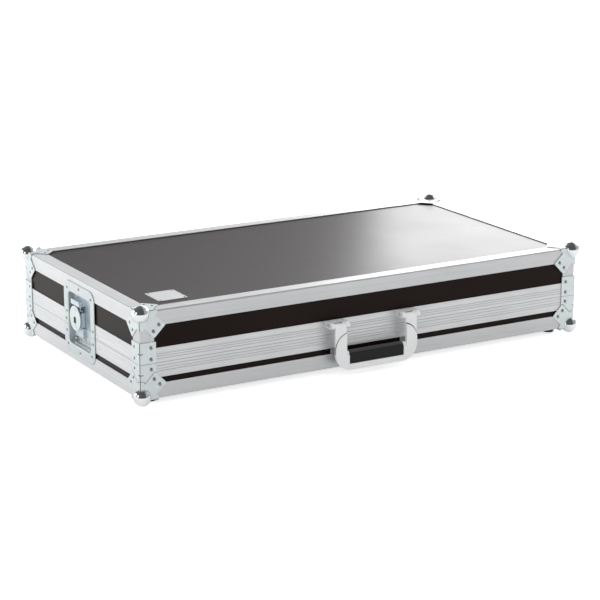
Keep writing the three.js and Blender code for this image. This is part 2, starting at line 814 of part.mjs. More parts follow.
function bail() {
  const opening = (top) => outline([
    [-armInner, top],
    [-armInner, bailStepTop],
    [-stepInner, bailStepTop],
    [-stepInner, barTop],
    [stepInner, barTop],
    [stepInner, bailStepTop],
    [armInner, bailStepTop],
    [armInner, top],
  ]);
  const clear = slab(opening(bailDrop), "y", -handleReach - overrun, 0);
  const back = new THREE.Shape();
  back.moveTo(-armOuter, -pivotDrop);
  const [arcX, arcZ] = [armOuter - shoulderRadius, bailBottom + shoulderRadius];
  back.lineTo(-armOuter, arcZ);
  back.absarc(-arcX, arcZ, shoulderRadius, Math.PI, (Math.PI * 3) / 2);
  back.lineTo(arcX, bailBottom);
  back.absarc(arcX, arcZ, shoulderRadius, -Math.PI / 2, 0);
  back.lineTo(armOuter, -pivotDrop);
  const front = roundedRectangle(-armOuter, bailBottom, armOuter, frontLayerTop, shoulderRadius);
  const plate = cut(
    join(
      slab(back, "y", -bailReach, -bailReach + bailLayer, handleSteps),
      slab(front, "y", -handleReach, -bailReach, handleSteps),
    ),
    clear,
  );
  const ends = [-1, 1].flatMap((side) => {
    const across = (a, b) => ordered(side * a, side * b);
    const [low, high] = across(armInner, armOuter);
    const [pinLow, pinHigh] = across(bracketInner + fit, bracketOuter - fit);
    const [barLow, barHigh] = across(gripEnd + fit, armInner + gripBarLap);
    return [
      bar("x", low, high, pivot, barrelRadius, roundSteps),
      bar("x", pinLow, pinHigh, pivot, pinRadius, roundSteps),
      bar("x", barLow, barHigh, [-pivotReach, barTop + gripBarUp], gripBarRadius, roundSteps),
    ];
  });
  return join(plate, ...ends);
}

// Grip: a flat face and underside, and a crowned top that takes in the round bar
function grip() {
  const front = gripBehindBail - handleReach;
  const bottom = barTop + fit;
  const section = new THREE.Shape();
  section.moveTo(front, bottom);
  section.lineTo(front + gripDepth, bottom);
  section.lineTo(front + gripDepth, bottom + gripFaceHeight);
  section.absellipse(
    front + gripDepth / 2, bottom + gripFaceHeight, gripDepth / 2, gripCrown, 0, Math.PI, false,
  );
  return slab(section, "x", -gripEnd, gripEnd, handleSteps);
}

function handle() {
  const group = new THREE.Group();
  group.position.set(0, -halfDepth, bracketTop);
  group.add(
    piece("handle_left_bracket", bracket(-1), zinc),
    piece("handle_right_bracket", bracket(1), zinc),
    piece("handle_bail", bail(), zinc),
    piece("handle_grip", grip(), rubber),
  );
  caseGroup.add(group);
}

edgeAngles("lid", lidHeight, 1);
edgeAngles("base", baseHeight, -1);
panels("lid", "top", lidHeight, 1);
panels("base", "floor", baseHeight, -1);
closures("lid", 1, lidRibGrooveShares);
closures("base", -1, baseRibGrooveShares);
ballCorners("lid", lidHeight, 1);
ballCorners("base", baseHeight, -1);
braces("lid", lidHeight, 1);
braces("base", baseHeight, -1);
feet();
foamLining("lid", lidHeight, 1);
foamLining("base", baseHeight, -1);
latches();
handle();

export default object;
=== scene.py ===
import math
from collections import namedtuple
from functools import partial

import bmesh
import bpy
from mathutils import Matrix, Vector

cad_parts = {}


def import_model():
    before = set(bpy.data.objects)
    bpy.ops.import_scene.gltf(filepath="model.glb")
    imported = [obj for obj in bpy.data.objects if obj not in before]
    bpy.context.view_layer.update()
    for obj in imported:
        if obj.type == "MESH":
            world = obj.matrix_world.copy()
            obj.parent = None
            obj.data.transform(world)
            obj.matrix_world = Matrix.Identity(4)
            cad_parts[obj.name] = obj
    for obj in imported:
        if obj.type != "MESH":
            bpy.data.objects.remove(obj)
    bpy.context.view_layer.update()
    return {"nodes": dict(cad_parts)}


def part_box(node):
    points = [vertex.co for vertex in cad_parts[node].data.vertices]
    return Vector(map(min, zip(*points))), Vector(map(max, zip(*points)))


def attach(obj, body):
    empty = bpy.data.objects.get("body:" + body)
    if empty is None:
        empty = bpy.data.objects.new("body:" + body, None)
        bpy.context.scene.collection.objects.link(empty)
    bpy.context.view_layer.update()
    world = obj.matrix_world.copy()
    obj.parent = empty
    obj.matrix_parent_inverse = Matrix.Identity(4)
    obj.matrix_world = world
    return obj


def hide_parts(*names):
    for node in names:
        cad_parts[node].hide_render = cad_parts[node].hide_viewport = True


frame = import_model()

MM = 0.001

# Camera, solved from the photograph: angle, distance from the case's middle, framing offsets and lens
VIEW_AZIMUTH = math.radians(-29.98)
VIEW_ELEVATION = math.radians(15.39)
VIEW_DISTANCE = 4.48357
VIEW_RIGHT = -0.00199
VIEW_UP = -0.02394
LENS = 123.1
SENSOR = 36


# Places of the case, in millimetres, read from the frame
Case = namedtuple("Case", "left right front back bottom top parting")
PARTING_HALF_GAP = 0.3


def box_mm(node):
    low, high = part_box(node)
    return low / MM, high / MM


def low_mm(node):
    return box_mm(node)[0]


def high_mm(node):
    return box_mm(node)[1]


def case_places():
    low, high = low_mm("base_front_angle"), high_mm("lid_front_angle")
    parting = (low_mm("lid_front_closure").z + low_mm("left_keeper_dish").z) / 2 - PARTING_HALF_GAP
    left, right = low_mm("base_left_angle").x, high_mm("base_right_angle").x
    return Case(left, right, low.y, high_mm("base_back_angle").y, low.z, high.z, parting)


case = case_places()


# Shader building
# The stretch of a noise's values that counts, and how rough a noise is
NOISE_RANGE = (0.3, 0.7)
NOISE_ROUGHNESS = 0.55


def material(name, **sockets):
    """A new material and its node tree."""
    made = bpy.data.materials.new(name)
    made.use_nodes = True
    shader = made.node_tree.nodes["Principled BSDF"]
    for socket, value in sockets.items():
        shader.inputs[socket_name(socket)].default_value = value
    return made, made.node_tree


def socket_name(word):
    return word.replace("_", " ").title().replace("Ior", "IOR")


def node(tree, kind, inputs=None, **settings):
    made = tree.nodes.new("ShaderNode" + kind)
    for name, value in settings.items():
        setattr(made, name, value)
    for socket, value in (inputs or {}).items():
        if isinstance(value, bpy.types.NodeSocket):
            tree.links.new(value, made.inputs[socket])
        else:
            made.inputs[socket].default_value = value
    return made


def maths(tree, operation, *values):
    return node(tree, "Math", dict(enumerate(values)), operation=operation).outputs[0]


def coordinates(tree, kind="Object"):
    return node(tree, "TexCoord").outputs[kind]


def split(tree, vector):
    return node(tree, "SeparateXYZ", {"Vector": vector}).outputs


def noise(tree, scale, detail, roughness=NOISE_ROUGHNESS, stretch=(1, 1, 1)):
    vector = node(tree, "Mapping", {"Vector": coordinates(tree), "Scale": stretch}).outputs["Vector"]
    values = {"Vector": vector, "Scale": scale, "Detail": detail, "Roughness": roughness}
    return node(tree, "TexNoise", values).outputs["Fac"]


def spread(tree, value, low, high, to_low=0, to_high=1):
    values = {"Value": value, "From Min": low, "From Max": high, "To Min": to_low, "To Max": to_high}
    return node(tree, "MapRange", values).outputs["Result"]


def ranged(tree, value, to_low=0, to_high=1):
    """A noise's values, spread between two others."""
    return spread(tree, value, *NOISE_RANGE, to_low, to_high)


def tinted(tree, factor, low, high):
    """A colour between two, by a factor. The low one may be a socket."""
    first = low if isinstance(low, bpy.types.NodeSocket) else (*low, 1)
    return node(tree, "Mix", {0: factor, 6: first, 7: (*high, 1)}, data_type="RGBA").outputs[2]


def blended(tree, factor, low, high):
    """A value between two, by a factor."""
    return node(tree, "Mix", {0: factor, 2: low, 3: high}, data_type="FLOAT").outputs[0]


def bump(tree, height, strength, distance):
    values = {"Height": height, "Strength": strength, "Distance": distance}
    return node(tree, "Bump", values).outputs["Normal"]


def fed(made, **sockets):
    """A material with values linked to its sockets."""
    tree = made.node_tree
    shader = tree.nodes["Principled BSDF"]
    for socket, value in sockets.items():
        tree.links.new(value, shader.inputs[socket_name(socket)])
    return made


# Materials. A cloud or a grain has a scale and a detail, and a bump has a strength and a height in metres.
METALLIC = 0.72
ALUMINIUM_TONES = ((0.68, 0.69, 0.70), (0.76, 0.77, 0.78))
ALUMINIUM_ROUGHNESS = (0.4, 0.5)
ALUMINIUM_BUMP = (0.16, 0.0001)
PATINA = (14, 5)
# Fine streaks and wider ones: their scale across and along, and their detail
STREAKS = ((900, 3, 3), (160, 1.5, 2))
STREAK_RANGE = (0.7, 1.3)
END_FACING = (0.65, 0.75)


def brushed(tree, run):
    """Streaks along one axis: fine ones and wider ones."""
    made = []
    for across, along, detail in STREAKS:
        scale = [along if axis == run else across for axis in "xyz"]
        made.append(noise(tree, 1, detail, stretch=scale))
    return made


def aluminium(name, run, shade_share=1):
    """Brushed along an axis, or round the case: along x in front and behind, and along y at the ends. A share
    below one gives a darker copy: painted shade.
    """
    low, high = ([value * shade_share for value in colour] for colour in ALUMINIUM_TONES)
    made, tree = material(name, metallic=METALLIC)
    if run == "wrap":
        facing_end = maths(tree, "ABSOLUTE", split(tree, coordinates(tree, "Normal"))["X"])
        is_end = spread(tree, facing_end, *END_FACING)
        fine, wide = (blended(tree, is_end, *pair) for pair in zip(brushed(tree, "x"), brushed(tree, "y")))
    else:
        fine, wide = brushed(tree, run)
    both = maths(tree, "ADD", fine, wide)
    return fed(
        made,
        base_color=tinted(tree, spread(tree, both, *STREAK_RANGE), low, high),
        roughness=ranged(tree, noise(tree, *PATINA), *ALUMINIUM_ROUGHNESS),
        normal=bump(tree, both, *ALUMINIUM_BUMP),
    )


def clouded(name, tones, roughness, cloud, grain, relief, gloss, tint=(1, 1, 1, 1)):
    """A colour and a roughness that vary in clouds, over a fine grain."""
    made, tree = material(name, specular_ior_level=gloss, specular_tint=tint)
    shade = noise(tree, *cloud)
    return fed(
        made,
        base_color=tinted(tree, ranged(tree, shade), *tones),
        roughness=ranged(tree, shade, *roughness),
        normal=bump(tree, noise(tree, *grain), *relief),
    )


PLATING_MOTTLE = (90, 6, 0.6)
PLATING_BUMP = (0.12, 0.0002)
SMEAR_SCALE = (40, 25, 90)
SMEAR_DETAIL = 4


def plating(name, low, high, roughness, metallic=METALLIC):
    """A mottled coat of metal between two colours, smeared smoother and rougher."""
    made, tree = material(name, metallic=metallic)
    mottle = noise(tree, *PLATING_MOTTLE)
    smear = noise(tree, 1, SMEAR_DETAIL, stretch=SMEAR_SCALE)
    return fed(
        made,
        base_color=tinted(tree, ranged(tree, mottle), low, high),
        roughness=ranged(tree, smear, *roughness),
        normal=bump(tree, mottle, *PLATING_BUMP),
    )


BLACK_TONES = ((0.006, 0.006, 0.0065), (0.013, 0.013, 0.0135))
BLACK_CLOUD = (30, 4)
BLACK_GRAIN_DETAIL = 5
BLACK_BUMP_HEIGHT = 0.0003
# Grey mixed in on surfaces that face up: a painted sheen of the light from above
PAINTED_TOP_SHEEN = (0.062, 0.062, 0.063)
SHEEN_FACING_UP = (0.3, 0.8)


def black_moulding(name, roughness, grain, strength, gloss=0.5):
    """Black plastic or rubber, painted greyer where it faces up: a painted sheen of the light from above."""
    made, tree = material(name, specular_ior_level=gloss)
    cloud = noise(tree, *BLACK_CLOUD)
    lit_top = spread(tree, split(tree, coordinates(tree, "Normal"))["Z"], *SHEEN_FACING_UP)
    relief = noise(tree, grain, BLACK_GRAIN_DETAIL)
    return fed(
        made,
        base_color=tinted(tree, lit_top, tinted(tree, cloud, *BLACK_TONES), PAINTED_TOP_SHEEN),
        roughness=ranged(tree, cloud, *roughness),
        normal=bump(tree, relief, strength, BLACK_BUMP_HEIGHT),
    )


def foam(tones, roughness, cloud, cells, pit_shade, relief, gloss):
    """Colour that varies in clouds, with open cells painted darker at their sunken centres: painted shade in
    the hollows.
    """
    made, tree = material("foam", roughness=roughness, specular_ior_level=gloss)
    voronoi = node(tree, "TexVoronoi", {"Vector": coordinates(tree), "Scale": cells})
    depth = voronoi.outputs["Distance"]
    shade = noise(tree, *cloud)
    mixed = blended(tree, shade, spread(tree, depth, *pit_shade), shade)
    return fed(made, base_color=tinted(tree, mixed, *tones), normal=bump(tree, depth, *relief))


DULL = (0.38, 0.48)
LAMINATE = clouded(
    "laminate", ((0.0075, 0.0034, 0.0026), (0.0115, 0.0058, 0.0047)), (0.27, 0.31),
    cloud=(6, 5), grain=(260, 3), relief=(0.06, 0.0002), gloss=0.11, tint=(1, 0.93, 0.91, 1),
)
# The front, back and upright angles are darker copies of the same aluminium: painted shade
ALUMINIUM_X = aluminium("aluminium_along_x", "x", shade_share=0.89)
ALUMINIUM_Y = aluminium("aluminium_along_y", "y")
ALUMINIUM_Z = aluminium("aluminium_upright", "z", shade_share=0.9)
ALUMINIUM_WRAP = aluminium("aluminium_closure", "wrap")
ZINC = plating("zinc_plate", (0.68, 0.735, 0.74), (0.75, 0.805, 0.81), DULL)
# A darker copy of the plate zinc for the dishes: painted shade for the deep recess, kept on the flange too
SHADED_DISH = plating("dish_zinc_painted_shade", (0.61, 0.665, 0.67), (0.68, 0.735, 0.74), DULL)
# Blue-grey plating for the latch's inner works: painted shade, the blue cast of the deep recess
BLUE_SHADE_WORKS = plating("latch_works_blue_shade", (0.60, 0.68, 0.74), (0.68, 0.76, 0.82), DULL)
SATIN = plating("satin_handle", (0.90, 0.91, 0.915), (0.94, 0.95, 0.955), (0.42, 0.5), metallic=0.1)
# Near-black plating for painted shade: creases, gaps, darts, slots, bores, grooves and notches are cut with
# it
PAINTED_SHADE = plating("painted_shade_works", (0.07, 0.07, 0.075), (0.12, 0.12, 0.125), (0.45, 0.6))
CHROME = plating("chrome_ball", (0.80, 0.82, 0.83), (0.84, 0.86, 0.87), (0.05, 0.09), metallic=1)
STEEL = plating("rivet_steel", (0.22, 0.23, 0.24), (0.32, 0.33, 0.34), (0.35, 0.5))
RUBBER = black_moulding("rubber", (0.6, 0.78), grain=500, strength=0.25)
GRIP = black_moulding("grip_cover", (0.36, 0.48), grain=1400, strength=0.2, gloss=0.24)
PAD = clouded(
    "pad_rubber", ((0.25, 0.25, 0.25), (0.32, 0.315, 0.31)), (0.7, 0.7),
    cloud=(40, 4), grain=(600, 4), relief=(0.2, 0.0003), gloss=0.3,
)
# The foam's cells are painted darker in their hollows: painted shade
FOAM = foam(
    ((0.012, 0.012, 0.014), (0.035, 0.036, 0.04)), 0.95,
    cloud=(18, 5), cells=420, pit_shade=(0.1, 0.5), relief=(0.6, 0.0008), gloss=0.2,
)


# Mesh building, in millimetres. Working objects are settled, transformed and named at the end.
FULL_TURN = 360
FAR = 1000
OVERRUN = 1
WELD = 0.002
SMALL_STEPS = 16
CORNER_STEPS = 8
BEND_STEPS = 5
CURVE_STEPS = 4
SMOOTH_ANGLE = 35
# The least angles, in degrees, of the edges that a bevel takes
EVERY_EDGE = 32
CLEAR_EDGE = 40
SQUARE_EDGE = 50
HERE = Matrix.Identity(4)
PLACES = {
    "x": lambda u, v, w: (w, u, v),
    "y": lambda u, v, w: (u, w, v),
    "z": lambda u, v, w: (u, v, w),
}


def prism(points, axis, low, high):
    """An outline on two axes, given a thickness along the third."""
    bm = bmesh.new()
    ends = [[bm.verts.new(PLACES[axis](u, v, w)) for u, v in points] for w in (low, high)]
    for end in ends:
        bm.faces.new(end)
    for i in range(len(points)):
        j = (i + 1) % len(points)
        bm.faces.new((ends[0][i], ends[0][j], ends[1][j], ends[1][i]))
    return closed(bm)


def block(low, high):
    outline = [(low[0], low[1]), (high[0], low[1]), (high[0], high[1]), (low[0], high[1])]
    return prism(outline, "z", low[2], high[2])


def rings(loops):
    """A closed skin through loops of equal length, capped at both ends."""
    bm = bmesh.new()
    rows = [[bm.verts.new(point) for point in loop] for loop in loops]
    count = len(rows[0])
    for near, far in zip(rows, rows[1:]):
        for i in range(count):
            j = (i + 1) % count
            bm.faces.new((near[i], near[j], far[j], far[i]))
    bm.faces.new(rows[0])
    bm.faces.new(rows[-1])
    return closed(bm)


def lathe(profile, steps):
    """A round solid about the z axis, from (radius, height) points that start and end just off the axis."""
    turns = [2 * math.pi * i / steps for i in range(steps)]
    return rings([[(r * math.cos(t), r * math.sin(t), h) for t in turns] for r, h in profile])


def closed(bm):
    bmesh.ops.recalc_face_normals(bm, faces=bm.faces)
    return bm


def arc(centre, radius, start, stop, steps):
    """Points on an arc, its angles in degrees."""
    turns = [math.radians(start + (stop - start) * i / steps) for i in range(steps + 1)]
    return [(centre[0] + radius * math.cos(t), centre[1] + radius * math.sin(t)) for t in turns]


def rounded_rectangle(half_wide, half_tall, radius, centre):
    points = []
    for turn, side_u, side_v in ((0, 1, 1), (90, -1, 1), (180, -1, -1), (270, 1, -1)):
        middle = (centre[0] + side_u * (half_wide - radius), centre[1] + side_v * (half_tall - radius))
        points += arc(middle, radius, turn, turn + 90, CORNER_STEPS)
    return points


def grown(points, by):
    """An outline moved outwards by a distance, with mitred corners."""
    area = sum(a[0] * b[1] - b[0] * a[1] for a, b in zip(points, points[1:] + points[:1]))
    side = math.copysign(by, area)
    moved = []
    for before, here, after in zip(points[-1:] + points[:-1], points, points[1:] + points[:1]):
        first = (Vector(here) - Vector(before)).normalized()
        second = (Vector(after) - Vector(here)).normalized()
        out = Vector((first.y + second.y, -first.x - second.x))
        moved.append(tuple(Vector(here) + out * side / (1 + first.dot(second))))
    return moved


def rounded_run(points, radius):
    """A run of points, its inner ones rounded from a radius away, or from a third of the way."""
    made = [points[0]]
    for before, here, after in zip(points, points[1:], points[2:]):
        here = Vector(here)
        first, second = Vector(before) - here, Vector(after) - here
        start = here + first.normalized() * min(radius, first.length / 3)
        stop = here + second.normalized() * min(radius, second.length / 3)
        for i in range(CURVE_STEPS + 1):
            t = i / CURVE_STEPS
            made.append(tuple(start.lerp(here, t).lerp(here.lerp(stop, t), t)))
    return made + [points[-1]]


def bar(axis, low, high, centre, radius, steps):
    """A round bar along an axis, about a place on the other two."""
    return prism(arc(centre, radius, 0, FULL_TURN, steps)[:-1], axis, low, high)


def ball(centre, radius, steps, stretch=(1, 1, 1)):
    made = bmesh.new()
    bmesh.ops.create_uvsphere(made, u_segments=steps[0], v_segments=steps[1], radius=radius)
    made.transform(Matrix.Translation(centre) @ Matrix.Diagonal((*stretch, 1)))
    return made


def placed(name, data):
    """A new object in the scene."""
    holder = bpy.data.objects.new(name, data)
    bpy.context.scene.collection.objects.link(holder)
    return holder


def working(bm, finish=ZINC):
    mesh = bpy.data.meshes.new("working")
    bm.to_mesh(mesh)
    bm.free()
    mesh.materials.append(finish)
    return placed("working", mesh)


def settle(holder):
    """Applies the modifiers of a working object, and welds what they leave double."""
    graph = bpy.context.evaluated_depsgraph_get()
    made = bpy.data.meshes.new_from_object(holder.evaluated_get(graph))
    bm = bmesh.new()
    bm.from_mesh(made)
    bmesh.ops.remove_doubles(bm, verts=bm.verts, dist=WELD)
    bmesh.ops.dissolve_degenerate(bm, edges=bm.edges, dist=WELD)
    bm.to_mesh(made)
    bm.free()
    holder.modifiers.clear()
    old = holder.data
    holder.data = made
    bpy.data.meshes.remove(old)
    return holder


def combined(operation, base, *tools):
    for tool in tools:
        step = base.modifiers.new("combine", "BOOLEAN")
        step.operation = operation
        step.object = tool
        step.solver = "EXACT"
        step.material_mode = "TRANSFER"
        settle(base)
        bpy.data.objects.remove(tool)
    return base


joined, cut, kept = (partial(combined, operation) for operation in ("UNION", "DIFFERENCE", "INTERSECT"))


def bevelled(holder, width, segments, angle):
    bevel = holder.modifiers.new("edge", "BEVEL")
    bevel.width = width
    bevel.segments = segments
    bevel.limit_method = "ANGLE"
    bevel.angle_limit = math.radians(angle)


def softened(holder, width, segments=2, angle=EVERY_EDGE):
    bevelled(holder, width, segments, angle)
    return settle(holder)


def gathered(bms, finish=ZINC):
    """Several loose solids in one working object."""
    whole = bmesh.new()
    for bm in bms:
        part = bpy.data.meshes.new("part")
        bm.to_mesh(part)
        bm.free()
        whole.from_mesh(part)
        bpy.data.meshes.remove(part)
    return working(whole, finish)


def prototype(holder):
    """Takes the mesh of a working object for copies."""
    mesh = holder.data
    bpy.data.objects.remove(holder)
    return mesh


def stand(mesh, name, place, body, slot, *nodes):
    """Puts a copy of a mesh in the frame, on its body, and hides the nodes that it stands for. The slot is
    not used.
    """
    made = mesh.copy()
    made.name = name
    made.transform(Matrix.Scale(MM, 4) @ place)
    if place.determinant() < 0:
        made.flip_normals()
    made.shade_smooth()
    made.set_sharp_from_angle(angle=math.radians(SMOOTH_ANGLE))
    holder = placed(name, made)
    holder.modifiers.new("flat_faces", "WEIGHTED_NORMAL").keep_sharp = True
    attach(holder, body)
    if nodes:
        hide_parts(*nodes)
    return holder


def mirrored(x, y, z, sign_x=1, sign_y=1, sign_z=1):
    return Matrix.Translation((x, y, z)) @ Matrix.Diagonal((sign_x, sign_y, sign_z, 1))


def facing(point, normal):
    return Matrix.Translation(point) @ Vector(normal).to_track_quat("Z", "Y").to_matrix().to_4x4()


# Blind rivets: a low head with its hole, set in a countersunk dimple
RIVET_RADIUS = 2.7
RIVET_HOLE = 0.95
RIVET_PROUD = 0.35
# The outlines of the head and of its hole: shares of their radius, of the height proud and of the depth sunk
HEAD_SHARES = ((1, 0, 1), (1, 0.1, 0.2), (0.82, 0.7, 0), (0.55, 1, 0))
HOLE_SHARES = ((1, 0.8, 0), (0.9, 0, 0.7))
DIMPLE_RADIUS = 4.3
DIMPLE_DEPTH = 1.05
DIMPLE_OVER = 0.4
DIMPLE_FLOOR_SHARE = 1.04
NEAR_AXIS = 0.05


def rivet(point, normal, sink=DIMPLE_DEPTH):
    rows = [(RIVET_RADIUS, *row) for row in HEAD_SHARES] + [(RIVET_HOLE, *row) for row in HOLE_SHARES]
    outline = [(radius * share, RIVET_PROUD * up - sink * down) for radius, share, up, down in rows]
    ends = [(NEAR_AXIS, outline[i][1]) for i in (0, -1)]
    head = lathe(ends[:1] + outline + ends[1:], SMALL_STEPS)
    head.transform(facing(point, normal))
    return head


def dimple(point, normal):
    slope = (DIMPLE_RADIUS - RIVET_RADIUS) / DIMPLE_DEPTH
    tool = lathe([
        (NEAR_AXIS, -DIMPLE_DEPTH),
        (RIVET_RADIUS * DIMPLE_FLOOR_SHARE, -DIMPLE_DEPTH),
        (DIMPLE_RADIUS + slope * DIMPLE_OVER, DIMPLE_OVER),
        (NEAR_AXIS, DIMPLE_OVER),
    ], SMALL_STEPS)
    tool.transform(facing(point, normal))
    return tool


def rivet_heads(places):
    return prototype(gathered([rivet(*place) for place in places], STEEL))


def dimples(places, finish=ZINC):
    return gathered([dimple(*place) for place in places], finish)


# Ball corners
PLATE_GAP = 0.3
LEG_ROOT = 38
LEG_ROOT_WIDTH = 6
LEG_NECK = (33, 9)
LEG_TIP_NEAR = 30.5
LEG_TIP_ROUND = 3.2
FOLD_RADIUS = 1.35
FOLD_SEGMENTS = 4
FOLD_PROFILE = 0.5
FOLD_NEAR = 0.01
BALL_RADIUS = 18
BALL_STEPS = (64, 32)
RIVET_DIAGONAL = 50
RIVET_APART = 8.5
CREASE_RADIUS = 0.75
CREASE_STEPS = 12
LUG_ALONG = 34
LUG_SIZE = (4.6, 2.3)
LUG_STEPS = (20, 12)

corner_low, corner_high = box_mm("lid_ball_corner_front_left")
keeper_low, keeper_high = box_mm("left_keeper_dish")
PLATE_OUT = case.left - keeper_low.x
LEG_REACH = corner_high.x - case.left
BALL_INSET = BALL_RADIUS - (case.left - corner_low.x)
CORNERS = [
    ("front_left", case.left, case.front, 1, 1),
    ("front_right", case.right, case.front, -1, 1),
    ("back_left", case.left, case.back, 1, -1),
    ("back_right", case.right, case.back, -1, -1),
]
HALVES = [("lid", case.top, 1), ("base", case.bottom, -1)]


def leg_outline():
    """A leg on one face, from the case's corner: along one edge, and down the other."""
    half = [(LEG_ROOT, -PLATE_OUT), (LEG_ROOT, LEG_ROOT_WIDTH), LEG_NECK, (LEG_REACH, LEG_TIP_NEAR)]
    sharp = [(v, u) for u, v in reversed(half)]
    tips = half[1:] + sharp[:-1]
    return [(-PLATE_OUT, -PLATE_OUT), half[0]] + rounded_run(tips, LEG_TIP_ROUND) + [sharp[-1]]


def corner_rivets():
    """Places and directions of a corner's rivets, two on each leg."""
    near, far = ((RIVET_DIAGONAL + way * RIVET_APART) / math.sqrt(2) for way in (-1, 1))
    places = []
    for a, b in ((near, far), (far, near)):
        places += [
            ((a, b, PLATE_OUT), (0, 0, 1)),
            ((-PLATE_OUT, a, -b), (-1, 0, 0)),
            ((a, -PLATE_OUT, -b), (0, -1, 0)),
        ]
    return places


def ball_corner():
    outline = leg_outline()
    upright = [(u, -v) for u, v in outline]
    plates = rounded_folds(joined(
        working(prism(outline, "z", PLATE_GAP, PLATE_OUT)),
        working(prism(upright, "x", -PLATE_OUT, -PLATE_GAP)),
        working(prism(upright, "y", -PLATE_OUT, -PLATE_GAP)),
    ))
    plates = joined(plates, *[working(lug(axis)) for axis in range(2)])
    # The creases are cut with near-black plating: painted shade along the folds
    plates = cut(plates, *[working(crease(axis), PAINTED_SHADE) for axis in range(3)])
    chrome = working(ball((BALL_INSET, BALL_INSET, -BALL_INSET), BALL_RADIUS, BALL_STEPS), CHROME)
    inside = block((-PLATE_GAP, -PLATE_GAP, -LEG_REACH * 2), (LEG_REACH * 2, LEG_REACH * 2, PLATE_GAP))
    whole = cut(joined(plates, chrome), working(inside))
    return prototype(cut(whole, dimples(corner_rivets())))


def rounded_folds(holder):
    """Rounds the three long edges where the plates wrap the case's edges."""
    bm = bmesh.new()
    bm.from_mesh(holder.data)
    outer = Vector((-PLATE_OUT, -PLATE_OUT, PLATE_OUT))
    folds = []
    for edge in bm.edges:
        ends = [vertex.co - outer for vertex in edge.verts]
        still = [axis for axis in range(3) if all(abs(end[axis]) < FOLD_NEAR for end in ends)]
        if len(still) == 2:
            folds.append(edge)
    bmesh.ops.bevel(
        bm, geom=folds, offset=FOLD_RADIUS, segments=FOLD_SEGMENTS, profile=FOLD_PROFILE, affect="EDGES"
    )
    bm.to_mesh(holder.data)
    bm.free()
    return holder


def fold_crest(radius):
    """How far the middle of a rounded fold stands out, on each of its two axes."""
    return PLATE_OUT - radius * (1 - math.sqrt(0.5))


def crease(axis):
    """The line pressed along a fold, from inside the ball to past the fold's end."""
    crest = fold_crest(FOLD_RADIUS)
    middle = Vector((-crest, -crest, crest))
    side = -1 if axis == 2 else 1
    ends = sorted((0, side * LEG_ROOT * 2))
    around = [value for index, value in enumerate(middle) if index != axis]
    return bar("xyz"[axis], *ends, around, CREASE_RADIUS, CREASE_STEPS)


def lug(axis):
    """A crimp pressed out of a level fold, near its end."""
    depth = PLATE_OUT - PLATE_GAP
    middle = [-depth, -depth, depth]
    middle[axis] = LUG_ALONG
    size = [LUG_SIZE[1]] * 3
    size[axis] = LUG_SIZE[0]
    return ball(middle, 1, LUG_STEPS, size)


def ball_corners():
    mesh, heads = ball_corner(), rivet_heads(corner_rivets())
    for half, height, way in HALVES:
        for corner, x, y, sign_x, sign_y in CORNERS:
            place = mirrored(x, y, height, sign_x, sign_y, way)
            node_name = f"{half}_ball_corner_{corner}"
            stand(mesh, f"{node_name}_shell", place, half, "ball", node_name)
            stand(heads, f"{node_name}_rivets", place, half, "plate")


# Corner braces and the upright angles that they are riveted to
BRACE_ROUND = 1.5
BRACE_SOFT = 0.3
BRACE_RIVET_IN = 23.3
BRACE_RIVETS = {"lid": (9.5, 32.8), "base": (11.3,)}
BRACE_LAP = 13.8
# How far the brace's back, and the floor of the rooms in it for the corner's legs, stand off the case. That
# floor is near-black: painted shade in the gap beside each leg.
SKIN = (0.08, 0.22)
LEG_ROOM = {"lid": 0.6, "base": 1}
DART_UP = {"lid": 22, "base": 21}
DART_SIZE = (6.5, 6.5, 1.3)
UPRIGHT_WALL = 1.6
UPRIGHT_EDGE = 2.2
UPRIGHT_SOFT = 0.25


def ell(outer, inner, reach, edge):
    """An L outline with its outer edge rounded."""
    points = [(reach, outer), (reach, inner), (inner, inner), (inner, reach), (outer, reach)]
    return points + arc((outer + edge, outer + edge), edge, 180, 270, BEND_STEPS)


def brace_sizes(half):
    """The brace's reach and height, and the closure's height, from the parting."""
    low, high = box_mm(f"{half}_front_closure")
    closure = high.z - case.parting if half == "lid" else case.parting - low.z
    return high_mm(f"{half}_brace_front_left").x - case.left, closure + BRACE_LAP, closure


def brace_rivets(half):
    places = []
    for up in BRACE_RIVETS[half]:
        places += [
            ((-PLATE_OUT, BRACE_RIVET_IN, up), (-1, 0, 0)),
            ((BRACE_RIVET_IN, -PLATE_OUT, up), (0, -1, 0)),
        ]
    return places


def brace(half, height):
    reach, tall, _ = brace_sizes(half)
    plate = working(prism(ell(-PLATE_OUT, -SKIN[0], reach, BRACE_ROUND), "z", PARTING_HALF_GAP, tall))
    plate = softened(plate, BRACE_SOFT, angle=SQUARE_EDGE)
    room = [(u, height - v) for u, v in grown(leg_outline(), LEG_ROOM[half])]
    # The leg rooms, the dart and the line along the fold are cut with near-black plating: painted shade in
    # the gaps and creases
    legs = [working(prism(room, axis, -PLATE_OUT * 2, -SKIN[1]), PAINTED_SHADE) for axis in "xy"]
    dart = ball((-PLATE_GAP, -PLATE_GAP, DART_UP[half]), 1, LUG_STEPS, DART_SIZE)
    crest = fold_crest(BRACE_ROUND)
    line = bar("z", -FAR, FAR, (-crest, -crest), CREASE_RADIUS, CREASE_STEPS)
    plate = cut(plate, *legs, working(dart, PAINTED_SHADE), working(line, PAINTED_SHADE))
    return prototype(cut(plate, dimples(brace_rivets(half))))


def corner_angle(half, height):
    _, _, closure = brace_sizes(half)
    low, high = box_mm(f"{half}_front_angle")
    leg = high.z - low.z
    outline = ell(0, UPRIGHT_WALL, leg, UPRIGHT_EDGE)
    upright = working(prism(outline, "z", closure + PLATE_GAP, height - leg - PLATE_GAP), ALUMINIUM_Z)
    return prototype(softened(upright, UPRIGHT_SOFT, angle=SQUARE_EDGE))


